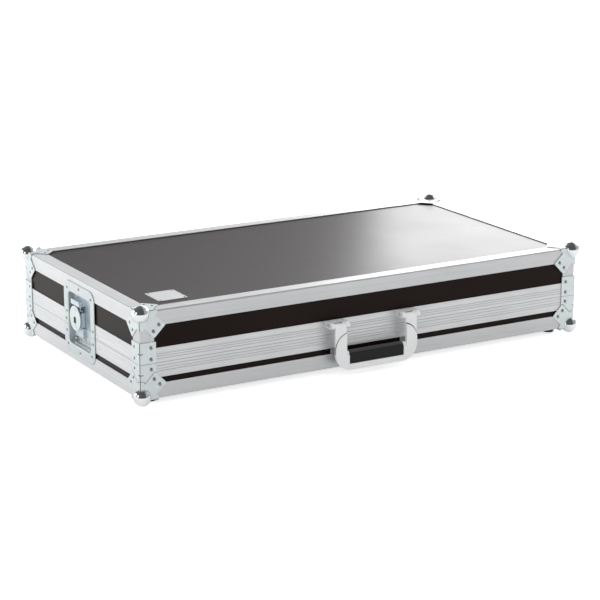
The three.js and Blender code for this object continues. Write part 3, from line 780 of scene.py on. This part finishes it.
def braces():
    for half, height, way in HALVES:
        tall = abs(height - case.parting)
        mesh, upright, heads = brace(half, tall), corner_angle(half, tall), rivet_heads(brace_rivets(half))
        for corner, x, y, sign_x, sign_y in CORNERS:
            place = mirrored(x, y, case.parting, sign_x, sign_y, way)
            node_name = f"{half}_brace_{corner}"
            stand(mesh, f"{node_name}_plate", place, half, "plate", node_name)
            stand(heads, f"{node_name}_rivets", place, half, "plate")
            stand(upright, f"{half}_corner_angle_{corner}", place, half, "profile", node_name)


# Latch dishes
FLANGE_RADIUS = 24
RECESS_RADIUS = 11
SIDE_RIM = 20
TOP_RIM = 23
RECESS_DEPTH = 16
DISH_WALL = 1.5
DISH_BEND = 2.4
DISH_FILLET = 3.5
FLANGE_BREAK = 0.5
# Rivets on the flange, from its middle: to the front, and down
DISH_RIVETS = [
    (0, -68.8), (59, -61), (-59, -61), (59, 60), (-59, 60), (0, 68),
    (67, 4.5), (66, 32), (-62, -10), (-66, 7), (-64, 32),
]
dish_low = low_mm("left_latch_dish")
MIDDLE_Y = (case.front + case.back) / 2
FLANGE_HALF_WIDE = (keeper_high.y - keeper_low.y) / 2
FLANGE_HALF_TALL = (keeper_high.z - dish_low.z) / 2
DISH_UP = (keeper_high.z + dish_low.z) / 2 - case.parting
RECESS_HALF_WIDE = FLANGE_HALF_WIDE - SIDE_RIM
RECESS_HALF_TALL = FLANGE_HALF_TALL - TOP_RIM
ENDS = [("left", case.left, 1), ("right", case.right, -1)]


def end_loop(half_wide, half_tall, radius, depth):
    return [(depth, u, v) for u, v in rounded_rectangle(half_wide, half_tall, radius, (0, DISH_UP))]


def recess_loop(grow, depth):
    return end_loop(RECESS_HALF_WIDE + grow, RECESS_HALF_TALL + grow, RECESS_RADIUS + grow, depth)


def dish_skin():
    """The whole pressed dish: floor, fillet, wall, bend, flange, and back again a wall's thickness behind."""
    floor_bend = arc((-DISH_FILLET, RECESS_DEPTH - DISH_FILLET), DISH_FILLET, 90, 0, BEND_STEPS)
    rim_bend = arc((DISH_BEND, DISH_BEND - PLATE_OUT), DISH_BEND, 180, 270, BEND_STEPS)
    loops = [recess_loop(grow, depth) for grow, depth in floor_bend + rim_bend]
    outer = (FLANGE_HALF_WIDE, FLANGE_HALF_TALL, FLANGE_RADIUS)
    inner = [value - FLANGE_BREAK for value in outer]
    loops += [
        end_loop(*inner, -PLATE_OUT),
        end_loop(*outer, FLANGE_BREAK - PLATE_OUT),
        end_loop(*outer, -PLATE_GAP),
        recess_loop(DISH_BEND, -PLATE_GAP),
        recess_loop(DISH_WALL, DISH_BEND - PLATE_OUT),
        recess_loop(DISH_WALL, RECESS_DEPTH - DISH_FILLET),
        recess_loop(-DISH_FILLET, RECESS_DEPTH + DISH_WALL),
    ]
    return rings(loops)


def dish_rivets(upper):
    places = [(-PLATE_OUT, -front, DISH_UP - down) for front, down in DISH_RIVETS]
    return [(place, (-1, 0, 0)) for place in places if (place[2] > 0) == upper]


def dish_half(upper):
    low, high = (PARTING_HALF_GAP, FAR) if upper else (-FAR, -PARTING_HALF_GAP)
    half = kept(working(dish_skin(), SHADED_DISH), working(block((-FAR, -FAR, low), (FAR, FAR, high)), SHADED_DISH))
    return cut(half, dimples(dish_rivets(upper), SHADED_DISH))


# Latch: depths inwards from the end's face, y from the end's middle, z from the parting
hub_low, hub_high = box_mm("left_latch_hub")
wing_low = low_mm("left_latch_front_wing")
hook_low, hook_high = box_mm("left_latch_hook")
HUB_Y = (hub_low.y + hub_high.y) / 2 - MIDDLE_Y
HUB_Z = (hub_low.z + hub_high.z) / 2 - case.parting
WING_RADIUS = HUB_Y + MIDDLE_Y - wing_low.y
CLAW_TOP = hook_high.z - case.parting
CLAW_HALF = (hook_high.y - hook_low.y) / 2
BEARING_HALF = 18.5
BEARING_DEPTH = 6.1
BEARING_THICK = 5
BEARING_TOP = 32.4
BEARING_BELOW = 18
BEARING_ROUND = 0.8
HOUSING_DEPTH = 9.6
HOUSING_BOTTOM = -22.2
# The thin plate on the recess's floor: its depth, its lap in the floor, its sides from the hub, its lower end
BASE_PLATE_DEPTH = 15.4
BASE_PLATE_LAP = 0.5
BASE_PLATE_SIDES = (2, 40)
BASE_PLATE_LOW = -8
BASE_PLATE_ROUND = 0.2
# The stud and the rivet on the recess's floor: their y from the hub, and their z
STUD = (25, -31)
STUD_RADIUS = 4.5
STUD_OUT = 1
STUD_STEPS = (24, 16)
FLOOR_RIVET = (-18, -25.4)
# The sill on the recess's lower wall: its inset at the sides, its two depths, and its rise
SILL = (12, 5, 7.2, 1.5)
SILL_ROUND = 0.4
HOOK_HALF = 12
HOOK_ROOM = 0.5
HOOK_THICK = 2.4
HOOK_DEPTH = 11.6
HOOK_STEP = 34.5
HOOK_BOTTOM = -18.9
HOOK_ROUND = 0.4
CLAW_FRONT = 0.4
CLAW_DEPTH = 6.4
ROLL_RADIUS = 3.4
ROLL_BOTTOM = 45.4
ROLL_STEPS = 12
LIP_STEP = 0.7
LIP_SHARE = 0.9
KEEPER_DEPTH = 9.3
KEEPER_LOW = 46.8
KEEPER_ROUND = 0.6
SLOT_HALF = (6, 6.5)
SLOT_DOWN = 4
WING_THICK = 2.2
WING_INNER = 2.85
WING_ROUND = 0.55
WING_STEPS = 40
WING_BARREL = 1.6
WING_PIN = 0.8
WING_PIN_LENGTH = 2
HINGE_OFFSET = 4.6
BARREL_SHORT = 9
BARREL_HALF = WING_RADIUS - BARREL_SHORT
EAR_ROOM = 7.16
EAR_GAP = 0.3
EAR_LENGTH = 3
CAP_HALF = 6.7
RIB_HALF = 2.5
CARRIER_DEPTH = 3.5
CARRIER_THICK = 2.1
HUB_ROUND = 0.4
DISC_STEPS = 96
SPINDLE_RADIUS = 4
SPINDLE_END = 14.5
SPINDLE_STEPS = 24


def hub_block(depths, half_wide, heights):
    """A block between two depths and two heights, as wide to both sides of the hub."""
    return block((depths[0], HUB_Y - half_wide, heights[0]), (depths[1], HUB_Y + half_wide, heights[1]))


def latch_dish():
    back = RECESS_DEPTH + DISH_WALL / 2
    plate_depths = (BEARING_DEPTH, BASE_PLATE_DEPTH - PLATE_GAP)
    housing = hub_block((HOUSING_DEPTH, back), BEARING_HALF, (HOUSING_BOTTOM, -PARTING_HALF_GAP))
    plate = hub_block(plate_depths, BEARING_HALF, (HUB_Z - BEARING_BELOW, BEARING_TOP))
    room = hub_block((BEARING_DEPTH + BEARING_THICK, RECESS_DEPTH), HOOK_HALF + HOOK_ROOM, (-FAR, FAR))
    bearing = cut(joined(working(housing, BLUE_SHADE_WORKS), working(plate, BLUE_SHADE_WORKS)), working(room, BLUE_SHADE_WORKS))
    inset, near, far, rise = SILL
    half_wide, low = RECESS_HALF_WIDE - inset, DISH_UP - RECESS_HALF_TALL
    sill = block((near, -half_wide, low - DISH_WALL / 2), (far, half_wide, low + rise))
    stud = ball((RECESS_DEPTH - STUD_OUT, HUB_Y + STUD[0], STUD[1]), STUD_RADIUS, STUD_STEPS)
    floor_rivet = rivet((RECESS_DEPTH, HUB_Y + FLOOR_RIVET[0], FLOOR_RIVET[1]), (-1, 0, 0))
    return prototype(joined(
        dish_half(False),
        softened(bearing, BEARING_ROUND, 3),
        softened(working(sill), SILL_ROUND),
        base_plate(BASE_PLATE_LOW, -PARTING_HALF_GAP),
        working(stud, CHROME),
        working(floor_rivet, STEEL),
    ))


def base_plate(low, high):
    """The thin plate on the recess's floor, beside the grip."""
    near, far = (HUB_Y - side for side in BASE_PLATE_SIDES)
    plate = block((BASE_PLATE_DEPTH, far, low), (RECESS_DEPTH + BASE_PLATE_LAP, near, high))
    return softened(working(plate, BLUE_SHADE_WORKS), BASE_PLATE_ROUND)


def keeper_dish():
    keeper = hub_block((KEEPER_DEPTH, RECESS_DEPTH + DISH_WALL / 2), CLAW_HALF, (KEEPER_LOW, CLAW_TOP))
    keeper = softened(working(keeper, BLUE_SHADE_WORKS), KEEPER_ROUND, 3)
    top = DISH_UP + RECESS_HALF_TALL - DISH_FILLET
    return prototype(joined(dish_half(True), keeper, base_plate(PARTING_HALF_GAP, top)))


def hook():
    """The strip that steps out behind the wings, and the claw with its rolled lower lip."""
    strip_back, claw_back = HOOK_DEPTH + HOOK_THICK, CLAW_DEPTH + HOOK_THICK
    strip = [
        (HOOK_DEPTH, HOOK_BOTTOM),
        (strip_back, HOOK_BOTTOM),
        (strip_back, HOOK_STEP + HOOK_THICK),
        (claw_back, HOOK_STEP + HOOK_THICK),
        (claw_back, CLAW_TOP),
        (CLAW_DEPTH, CLAW_TOP),
        (CLAW_DEPTH, HOOK_STEP),
        (HOOK_DEPTH, HOOK_STEP),
    ]
    roll = (CLAW_FRONT + ROLL_RADIUS, ROLL_BOTTOM + ROLL_RADIUS)
    claw = arc(roll, ROLL_RADIUS, 180, 360, ROLL_STEPS) + [
        (claw_back, roll[1] + ROLL_RADIUS),
        (claw_back, CLAW_TOP),
        (CLAW_FRONT, CLAW_TOP),
        (CLAW_FRONT, roll[1] + ROLL_RADIUS),
        (CLAW_FRONT + LIP_STEP, roll[1] + ROLL_RADIUS * LIP_SHARE),
    ]
    whole = joined(*[
        working(prism(outline, "y", HUB_Y - half_wide, HUB_Y + half_wide), BLUE_SHADE_WORKS)
        for outline, half_wide in ((strip, HOOK_HALF), (claw, CLAW_HALF))
    ])
    return prototype(softened(whole, HOOK_ROUND))


def finger_slot(depth):
    """The opening in the middle of the round grip, cut with near-black plating: painted shade."""
    half_wide, half_tall = SLOT_HALF
    middle = HUB_Z - SLOT_DOWN
    return working(hub_block((-OVERRUN, depth), half_wide, (middle - half_tall, middle + half_tall)), PAINTED_SHADE)


def beyond(way, distance, half_wide):
    """All that lies further than a distance above or below the hub's centre, between two sides."""
    return hub_block((-OVERRUN, FAR), half_wide, sorted((HUB_Z + way * distance, HUB_Z + way * FAR)))


def wing(side):
    """Half of the round grip, on its barrel, cut back where the hub's ends stand."""
    half_turn = math.degrees(math.acos(WING_INNER / WING_RADIUS))
    middle = 0 if side > 0 else 180
    outline = arc((HUB_Y, HUB_Z), WING_RADIUS, middle - half_turn, middle + half_turn, WING_STEPS)
    rooms = [working(beyond(way, BARREL_HALF, EAR_ROOM)) for way in (-1, 1)]
    leaf = cut(working(prism(outline, "x", 0, WING_THICK)), *rooms)
    axis = (WING_BARREL, HUB_Y + side * HINGE_OFFSET)
    barrel = bar("z", HUB_Z - BARREL_HALF, HUB_Z + BARREL_HALF, axis, WING_BARREL, SMALL_STEPS)
    whole = joined(softened(leaf, WING_ROUND, 3, SQUARE_EDGE), working(barrel))
    pins = []
    for way in (-1, 1):
        ends = sorted((HUB_Z + way * (BARREL_HALF - OVERRUN), HUB_Z + way * (BARREL_HALF + WING_PIN_LENGTH)))
        pins.append(working(bar("z", *ends, axis, WING_PIN, SMALL_STEPS)))
    return prototype(joined(cut(whole, finger_slot(WING_THICK + FAR)), *pins))


def hub():
    """Spindle, carrier and rib, with a round end above and below that completes the grip's disc."""
    ear_top = BARREL_HALF + EAR_GAP + EAR_LENGTH
    low, high = HUB_Z - ear_top, HUB_Z + ear_top
    rib_back, centre = CARRIER_DEPTH + OVERRUN, (HUB_Y, HUB_Z)
    depths = (CARRIER_DEPTH, CARRIER_DEPTH + CARRIER_THICK)
    carrier = hub_block(depths, HINGE_OFFSET + WING_BARREL, (low, high))
    rib = hub_block((0, rib_back), RIB_HALF, (low, high))
    disc = bar("x", 0, rib_back, centre, WING_RADIUS, DISC_STEPS)
    ends = [beyond(way, BARREL_HALF + EAR_GAP, CAP_HALF) for way in (-1, 1)]
    caps = kept(working(disc), gathered(ends))
    # The pin bores are cut with near-black plating: painted shade inside them
    bores = []
    for side in (-1, 1):
        axis = (WING_BARREL, HUB_Y + side * HINGE_OFFSET)
        bores.append(working(bar("z", low, high, axis, WING_PIN + EAR_GAP, SMALL_STEPS), PAINTED_SHADE))
    face = softened(cut(joined(working(rib), caps), *bores), HUB_ROUND, 3, SQUARE_EDGE)
    whole = cut(joined(working(carrier), face), finger_slot(CARRIER_DEPTH))
    spindle = bar("x", CARRIER_DEPTH, SPINDLE_END, centre, SPINDLE_RADIUS, SPINDLE_STEPS)
    return prototype(joined(whole, working(spindle)))


def latches():
    dish, keeper, claw = latch_dish(), keeper_dish(), hook()
    hub_mesh, front_wing, back_wing = hub(), wing(-1), wing(1)
    upper, lower = (rivet_heads(dish_rivets(half)) for half in (True, False))
    for side, x, sign in ENDS:
        place = mirrored(x, MIDDLE_Y, case.parting, sign)
        stand(dish, f"{side}_latch_dish_pressing", place, "base", "plate", f"{side}_latch_dish")
        stand(lower, f"{side}_latch_dish_rivets", place, "base", "plate")
        stand(keeper, f"{side}_keeper_dish_pressing", place, "lid", "plate", f"{side}_keeper_dish")
        stand(upper, f"{side}_keeper_dish_rivets", place, "lid", "plate")
        stand(claw, f"{side}_latch_hook_claw", place, f"{side}_hook", "plate", f"{side}_latch_hook")
        stand(hub_mesh, f"{side}_latch_hub_disc", place, f"{side}_hub", "plate", f"{side}_latch_hub")
        for label, mesh in (("front_wing", front_wing), ("back_wing", back_wing)):
            name = f"{side}_latch_{label}"
            stand(mesh, f"{name}_leaf", place, f"{side}_{label}", "plate", name)


# Handle, in the frame's own places. Its middle is at x = 0.
bracket_low, bracket_high = box_mm("handle_right_bracket")
bail_low, bail_high = box_mm("handle_bail")
grip_low, grip_high = box_mm("handle_grip")
FACE_Y = bracket_high.y
BRACKET_TOP = bracket_high.z
BRACKET_CHEEK = 8
BRACKET_PLATE = 2
BRACKET_SHELF = 1.8
BRACKET_ROUND = 0.35
KNUCKLE_RADIUS = 5.6
BARREL_RADIUS = 4.8
PIN_RADIUS = 2.6
HANDLE_PLAY = 0.5
HANDLE_STEPS = 24
SIDES = (("left", -1), ("right", 1))
PIVOT = (bracket_low.y + KNUCKLE_RADIUS, bail_high.z - BARREL_RADIUS)
ARM_INNER = bracket_low.x + BRACKET_CHEEK + HANDLE_PLAY
ARM_OUTER = bracket_high.x - BRACKET_CHEEK - HANDLE_PLAY
BAIL_LAYER = 3
BAIL_CORNER = 36
BAIL_STEPS = 14
BAIL_ROUND = 0.9
SHOULDER_UP = 80
BAR_UP = 12.5
STEP_UP = 31.9
STEP_INNER = 66.1
# The lines along the shoulders, cut with near-black plating as painted shade: widths at the left and the
# right arm, depth, lap, first angle and steps
SHOULDER_LINES = (0.8, 2.3)
LINE_DEPTH = 0.8
LINE_LAP = 0.1
LINE_FROM = -20
LINE_STEPS = 20
GRIP_BAR_RADIUS = 5
GRIP_BAR_UP = 34.1
GRIP_BAR_LAP = 6
HANDLE_GAP = 0.3
GRIP_FACE = 20
GRIP_ROUND = 0.5
CROWN_POWER = 0.8
# The notch in the shelf, cut with near-black plating as painted shade: a round hole, and a line from it with
# a length and two edges in front of its centre
NOTCH_ASIDE = 5
NOTCH_RADIUS = 1.5
NOTCH_IN_SHARE = 0.8
NOTCH_DEPTH = 3
NOTCH_LINE = (19, 1.3, 0.1)
NOTCH_LINE_DEPTH = 1
PAD_SPAN = (75, 94)
PAD_PROUD = 0.2
PAD_GAP = 0.3
PAD_CLEAR = 0.05
PAD_CORNER = 1
PAD_ROUND = 0.4


def bail_corner(x, z, start):
    return arc((x, z), BAIL_CORNER, start, start + 90, BAIL_STEPS)


def bail():
    """A back layer on two barrels, a front layer with round shoulders, the grip bar's ends and the pins."""
    foot, front = bail_low.z, bail_low.y
    middle = front + BAIL_LAYER
    x, low_z, top_z = ARM_OUTER - BAIL_CORNER, foot + BAIL_CORNER, foot + SHOULDER_UP - BAIL_CORNER
    low_corners = bail_corner(-x, low_z, 180) + bail_corner(x, low_z, 270)
    shoulders = bail_corner(x, top_z, 0) + bail_corner(-x, top_z, 90)
    back = low_corners + [(ARM_OUTER, PIVOT[1]), (-ARM_OUTER, PIVOT[1])]
    layers = joined(
        working(prism(back, "y", middle, middle + BAIL_LAYER), SATIN),
        working(prism(low_corners + shoulders, "y", front, middle), SATIN),
    )
    step, foot_bar = foot + STEP_UP, foot + BAR_UP
    opening = [(STEP_INNER, foot_bar), (STEP_INNER, step), (ARM_INNER, step), (ARM_INNER, FAR)]
    opening += [(-u, v) for u, v in reversed(opening)]
    grooves = []
    for side, width in zip((-1, 1), SHOULDER_LINES):
        line = arc((x, top_z), BAIL_CORNER + width, LINE_FROM, 90, LINE_STEPS)
        line += arc((x, top_z), BAIL_CORNER - LINE_LAP, 90, LINE_FROM, LINE_STEPS)
        grooves.append(prism([(side * u, v) for u, v in line], "y", middle - OVERRUN, middle + LINE_DEPTH))
    # The shoulder lines are near-black: painted shade in the grooves
    plate = cut(layers, gathered(grooves, PAINTED_SHADE), working(prism(opening, "y", front - FAR, FAR), SATIN))
    grip_axis = (PIVOT[0], foot + GRIP_BAR_UP)
    bars = []
    for side in (-1, 1):
        for near, far, centre, radius in (
            (ARM_INNER, ARM_OUTER, PIVOT, BARREL_RADIUS),
            (grip_high.x + HANDLE_GAP, ARM_INNER + GRIP_BAR_LAP, grip_axis, GRIP_BAR_RADIUS),
            (bracket_low.x + HANDLE_GAP, bracket_high.x - HANDLE_GAP, PIVOT, PIN_RADIUS),
        ):
            ends = sorted((side * near, side * far))
            bars.append(working(bar("x", *ends, centre, radius, HANDLE_STEPS), SATIN))
    return prototype(joined(softened(plate, BAIL_ROUND, 3, SQUARE_EDGE), *bars))


def grip():
    """The grip's black moulding: flat in front and below, crowned on top."""
    reach = grip_high.y - grip_low.y
    crown = grip_high.z - grip_low.z - GRIP_FACE
    edge = (grip_low.y + reach / 2, grip_low.z + GRIP_FACE)
    turns = [math.pi * i / HANDLE_STEPS for i in range(HANDLE_STEPS + 1)]
    top = [(edge[0] + reach / 2 * math.cos(t), edge[1] + crown * math.sin(t) ** CROWN_POWER) for t in turns]
    section = [(grip_low.y, grip_low.z), (grip_high.y, grip_low.z)] + top
    moulding = working(prism(section, "x", grip_low.x, grip_high.x), GRIP)
    return prototype(softened(moulding, GRIP_ROUND, angle=CLEAR_EDGE))


def bracket(notch):
    """The right bracket: a strip that comes out as a shelf, and curls round the pin twice into two lips."""
    inner, outer = bracket_low.x, bracket_high.x
    shelf, lip = BRACKET_TOP - BRACKET_SHELF, PIVOT[1] - KNUCKLE_RADIUS
    room = math.sqrt(max(0, (BARREL_RADIUS + HANDLE_PLAY) ** 2 - (shelf - PIVOT[1]) ** 2))
    parts = [
        block((inner, FACE_Y - BRACKET_PLATE, bracket_low.z), (outer, FACE_Y, BRACKET_TOP)),
        block((inner, PIVOT[0] + room, shelf), (outer, FACE_Y, BRACKET_TOP)),
    ]
    for low, high in ((inner, inner + BRACKET_CHEEK), (outer - BRACKET_CHEEK, outer)):
        parts += [
            block((low, PIVOT[0], shelf), (high, FACE_Y, BRACKET_TOP)),
            block((low, PIVOT[0], lip), (high, FACE_Y, lip + BRACKET_SHELF)),
            bar("x", low, high, PIVOT, KNUCKLE_RADIUS, HANDLE_STEPS),
        ]
    bore = bar("x", inner - OVERRUN, outer + OVERRUN, PIVOT, PIN_RADIUS + HANDLE_PLAY, HANDLE_STEPS)
    whole = cut(joined(*[working(part, SATIN) for part in parts]), working(bore, SATIN))
    dot = ((inner + outer) / 2 + notch, PIVOT[0] + room + NOTCH_RADIUS * NOTCH_IN_SHARE)
    hole = bar("z", BRACKET_TOP - NOTCH_DEPTH, FAR, dot, NOTCH_RADIUS, SMALL_STEPS)
    length, far, near = NOTCH_LINE
    ends = sorted((dot[0], dot[0] - math.copysign(length, notch)))
    line = block((ends[0], dot[1] - far, BRACKET_TOP - NOTCH_LINE_DEPTH), (ends[1], dot[1] - near, FAR))
    whole = softened(whole, BRACKET_ROUND, angle=CLEAR_EDGE)
    # The hole and the line are near-black: painted shade
    return prototype(cut(whole, working(line, PAINTED_SHADE), working(hole, PAINTED_SHADE)))


def handle_parts():
    stand(bail(), "handle_bail_pressing", HERE, "handle", "plate", "handle_bail")
    stand(grip(), "handle_grip_moulding", HERE, "handle", "rubber", "handle_grip")
    for side, sign in SIDES:
        name = f"handle_{side}_bracket"
        stand(bracket(sign * NOTCH_ASIDE), f"{name}_pressing", mirrored(0, 0, 0, sign), "lid", "plate", name)


def stop_pads():
    """Grey pads on the base, behind the arms of the hanging bail."""
    low, high = high_mm("base_front_angle").z, low_mm("base_front_closure").z
    half = ((PAD_SPAN[1] - PAD_SPAN[0]) / 2, (high - low) / 2 - PAD_GAP)
    outline = rounded_rectangle(*half, PAD_CORNER, (sum(PAD_SPAN) / 2, (high + low) / 2))
    back = low_mm("base_front_panel").y - PAD_CLEAR
    pad = working(prism(outline, "y", case.front - PAD_PROUD, back), PAD)
    made = prototype(softened(pad, PAD_ROUND, 3, SQUARE_EDGE))
    for side, sign in SIDES:
        stand(made, f"handle_{side}_stop_pad", mirrored(0, 0, 0, sign), "base", "rubber")


# Badge plate on the lid, left bare
BADGE_SIZE = (64, 67)
BADGE_FROM_CORNER = (104, 92)
BADGE_THICK = 1
BADGE_ROUND = 2.5
BADGE_SOFT = 0.25
BADGE_RIVET_IN = 5.5
BADGE_RIVET_UP = 0.1
BADGE_RIVET_SINK = 0.2


def badge():
    panel = high_mm("lid_top_panel").z
    top = panel + BADGE_THICK
    x, y = case.left + BADGE_FROM_CORNER[0], case.front + BADGE_FROM_CORNER[1]
    half = [size / 2 for size in BADGE_SIZE]
    outline = rounded_rectangle(*half, BADGE_ROUND, (x, y))
    plate = working(prism(outline, "z", panel, top), ALUMINIUM_Y)
    plate = softened(plate, BADGE_SOFT, angle=SQUARE_EDGE)
    stand(prototype(plate), "badge_plate", HERE, "lid", "profile")
    u, v = (size - BADGE_RIVET_IN for size in half)
    corners = [(x + a * u, y + b * v, top + BADGE_RIVET_UP) for a in (-1, 1) for b in (-1, 1)]
    heads = rivet_heads([(corner, (0, 0, 1), BADGE_RIVET_SINK) for corner in corners])
    stand(heads, "badge_rivets", HERE, "lid", "plate")


# Foam lining: the tray's own solid with soft edges
FOAM_EDGE = 2.5
FOAM_SEGMENTS = 4
SOLID_WELD = 0.01


def foam_linings():
    for half, _, _ in HALVES:
        name = f"{half}_foam_lining"
        source = frame["nodes"][name].data.copy()
        source.materials.clear()
        source.materials.append(FOAM)
        source.transform(Matrix.Scale(1 / MM, 4))
        holder = placed("working", source)
        holder.modifiers.new("weld", "WELD").merge_threshold = SOLID_WELD
        settle(holder)
        softened(holder, FOAM_EDGE, FOAM_SEGMENTS, CLEAR_EDGE)
        piece = stand(prototype(holder), f"{half}_foam_tray", HERE, half, "foam", name)


# The solids that stay. The others, which finer pieces stand for, aren't seen, and get one finish.
NODE_EDGE = 0.3
CLOSURE_EDGE = 0.1
NODE_EDGE_ANGLE = 30


NODE_FINISHES = {
    "_panel": LAMINATE,
    "front_angle": ALUMINIUM_X,
    "back_angle": ALUMINIUM_X,
    "left_angle": ALUMINIUM_Y,
    "right_angle": ALUMINIUM_Y,
    "_closure": ALUMINIUM_WRAP,
    "foot_": RUBBER,
}


def dress_nodes():
    """Gives the carried-over solids their finishes and a fine broken edge."""
    for name, piece in frame["nodes"].items():
        finish = next((made for part, made in NODE_FINISHES.items() if part in name), ZINC)
        piece.data.materials.clear()
        piece.data.materials.append(finish)
        piece.modifiers.new("weld", "WELD").merge_threshold = SOLID_WELD * MM
        bevelled(piece, (CLOSURE_EDGE if "_closure" in name else NODE_EDGE) * MM, 2, NODE_EDGE_ANGLE)


# Studio: floor, world, lights and camera
WHITE = (1, 1, 1, 1)
FLOOR_SIZE = 40
FLOOR_COLOUR = (0.82, 0.82, 0.82, 1)
FLOOR_GLOW = 0.7
FLOOR_GLOSS_GLOW = 0.25
# Strengths of the light on the case, and of the room that gloss sees: in front and behind, aside on the right
WORLD_LIGHT = 0.82
ROOM_DEPTH = (0.22, 0.4)
ROOM_ASIDE = (0.42, 1.85)
# The directions between which each of them changes, and the heights between which the white horizon ends
DEPTH_RANGE = (-0.2, 0.7)
ASIDE_RANGE = (0.38, 0.53)
HORIZON = (0.12, 0.25)
HORIZON_FRONT_DROP = 0.16
DROP_RANGE = (-0.3, 0)
# Softboxes: a place, a width, a height and a radiance
AIM = (0, 0, 0.1)
SOFTBOXES = [
    ("soft_left", (-2.1, 1.45, 0.8), 1.2, 0.7, 4),
    ("soft_front_left", (-2.6, -0.4, 0.9), 0.9, 0.9, 1.4),
    ("soft_right", (2.4, 0.1, 1.45), 1.3, 0.9, 1.5),
    ("back_right", (2.45, 2.1, 1.05), 1.7, 1.2, 5.3),
    ("back_strip", (0.6, 2.5, 1.5), 3.4, 0.7, 1.5),
]


def ray_kinds(tree):
    """Whether the camera looks, and whether a mirrored or a passing ray does."""
    path = node(tree, "LightPath").outputs
    return path["Is Camera Ray"], maths(tree, "MAXIMUM", path["Is Glossy Ray"], path["Is Transmission Ray"])


def floor():
    """Pale floor. What the camera sees of it is lifted to white, and keeps the object's shadow."""
    bpy.ops.mesh.primitive_plane_add(size=FLOOR_SIZE)
    ground = bpy.context.object
    ground.name = "studio_floor"
    made, tree = material("studio_floor")
    tree.nodes.clear()
    seen, glossy = ray_kinds(tree)
    diffuse = node(tree, "BsdfDiffuse", {"Color": FLOOR_COLOUR}).outputs[0]
    glow = blended(tree, seen, maths(tree, "MULTIPLY", glossy, FLOOR_GLOSS_GLOW), FLOOR_GLOW)
    shine = node(tree, "Emission", {"Color": WHITE, "Strength": glow}).outputs[0]
    both = node(tree, "AddShader", {0: diffuse, 1: shine}).outputs[0]
    node(tree, "OutputMaterial", {"Surface": both})
    ground.data.materials.append(made)


def background(tree, strength):
    return node(tree, "Background", {"Color": WHITE, "Strength": strength}).outputs[0]


def either(tree, factor, first, second):
    return node(tree, "MixShader", {0: factor, 1: first, 2: second}).outputs[0]


def world():
    """White to the camera. Gloss sees a white horizon under a grey room, lighter behind and on the right."""
    made = bpy.data.worlds.new("studio")
    bpy.context.scene.world = made
    made.use_nodes = True
    tree = made.node_tree
    tree.nodes.clear()
    seen, glossy = ray_kinds(tree)
    x, y, z = split(tree, coordinates(tree, "Generated"))
    depth = spread(tree, y, *DEPTH_RANGE, *ROOM_DEPTH)
    room = maths(tree, "MULTIPLY", depth, spread(tree, x, *ASIDE_RANGE, *ROOM_ASIDE))
    height = maths(tree, "ADD", z, spread(tree, y, *DROP_RANGE, HORIZON_FRONT_DROP, 0))
    mirrored_room = background(tree, blended(tree, spread(tree, height, *HORIZON), 1, room))
    unseen = either(tree, glossy, background(tree, WORLD_LIGHT), mirrored_room)
    node(tree, "OutputWorld", {"Surface": either(tree, seen, unseen, background(tree, 1))})


def lights():
    for name, place, width, height, radiance in SOFTBOXES:
        lamp = bpy.data.lights.new(name, "AREA")
        lamp.shape = "RECTANGLE"
        lamp.size = width
        lamp.size_y = height
        lamp.energy = radiance * math.pi * width * height
        holder = placed(name, lamp)
        holder.location = place
        holder.rotation_euler = (Vector(AIM) - Vector(place)).to_track_quat("-Z", "Y").to_euler()
        holder.visible_camera = False


def camera():
    a, e = VIEW_AZIMUTH, VIEW_ELEVATION
    back = Vector((math.sin(a) * math.cos(e), -math.cos(a) * math.cos(e), math.sin(e)))
    right = (-back).cross(Vector((0, 0, 1))).normalized()
    up = right.cross(-back)
    middle = Vector((0, (case.front + case.back) / 2, (case.bottom + case.top) / 2)) * MM
    lens = bpy.data.cameras.new("camera")
    lens.lens = LENS
    lens.sensor_width = SENSOR
    holder = placed("camera", lens)
    turned = Matrix((right, up, back)).transposed().to_4x4()
    place = middle + back * VIEW_DISTANCE + right * VIEW_RIGHT + up * VIEW_UP
    holder.matrix_world = Matrix.Translation(place) @ turned
    bpy.context.scene.camera = holder


camera()
world()
floor()
lights()
dress_nodes()
ball_corners()
braces()
latches()
handle_parts()
stop_pads()
badge()
foam_linings()
bpy.context.scene.view_settings.view_transform = "Standard"
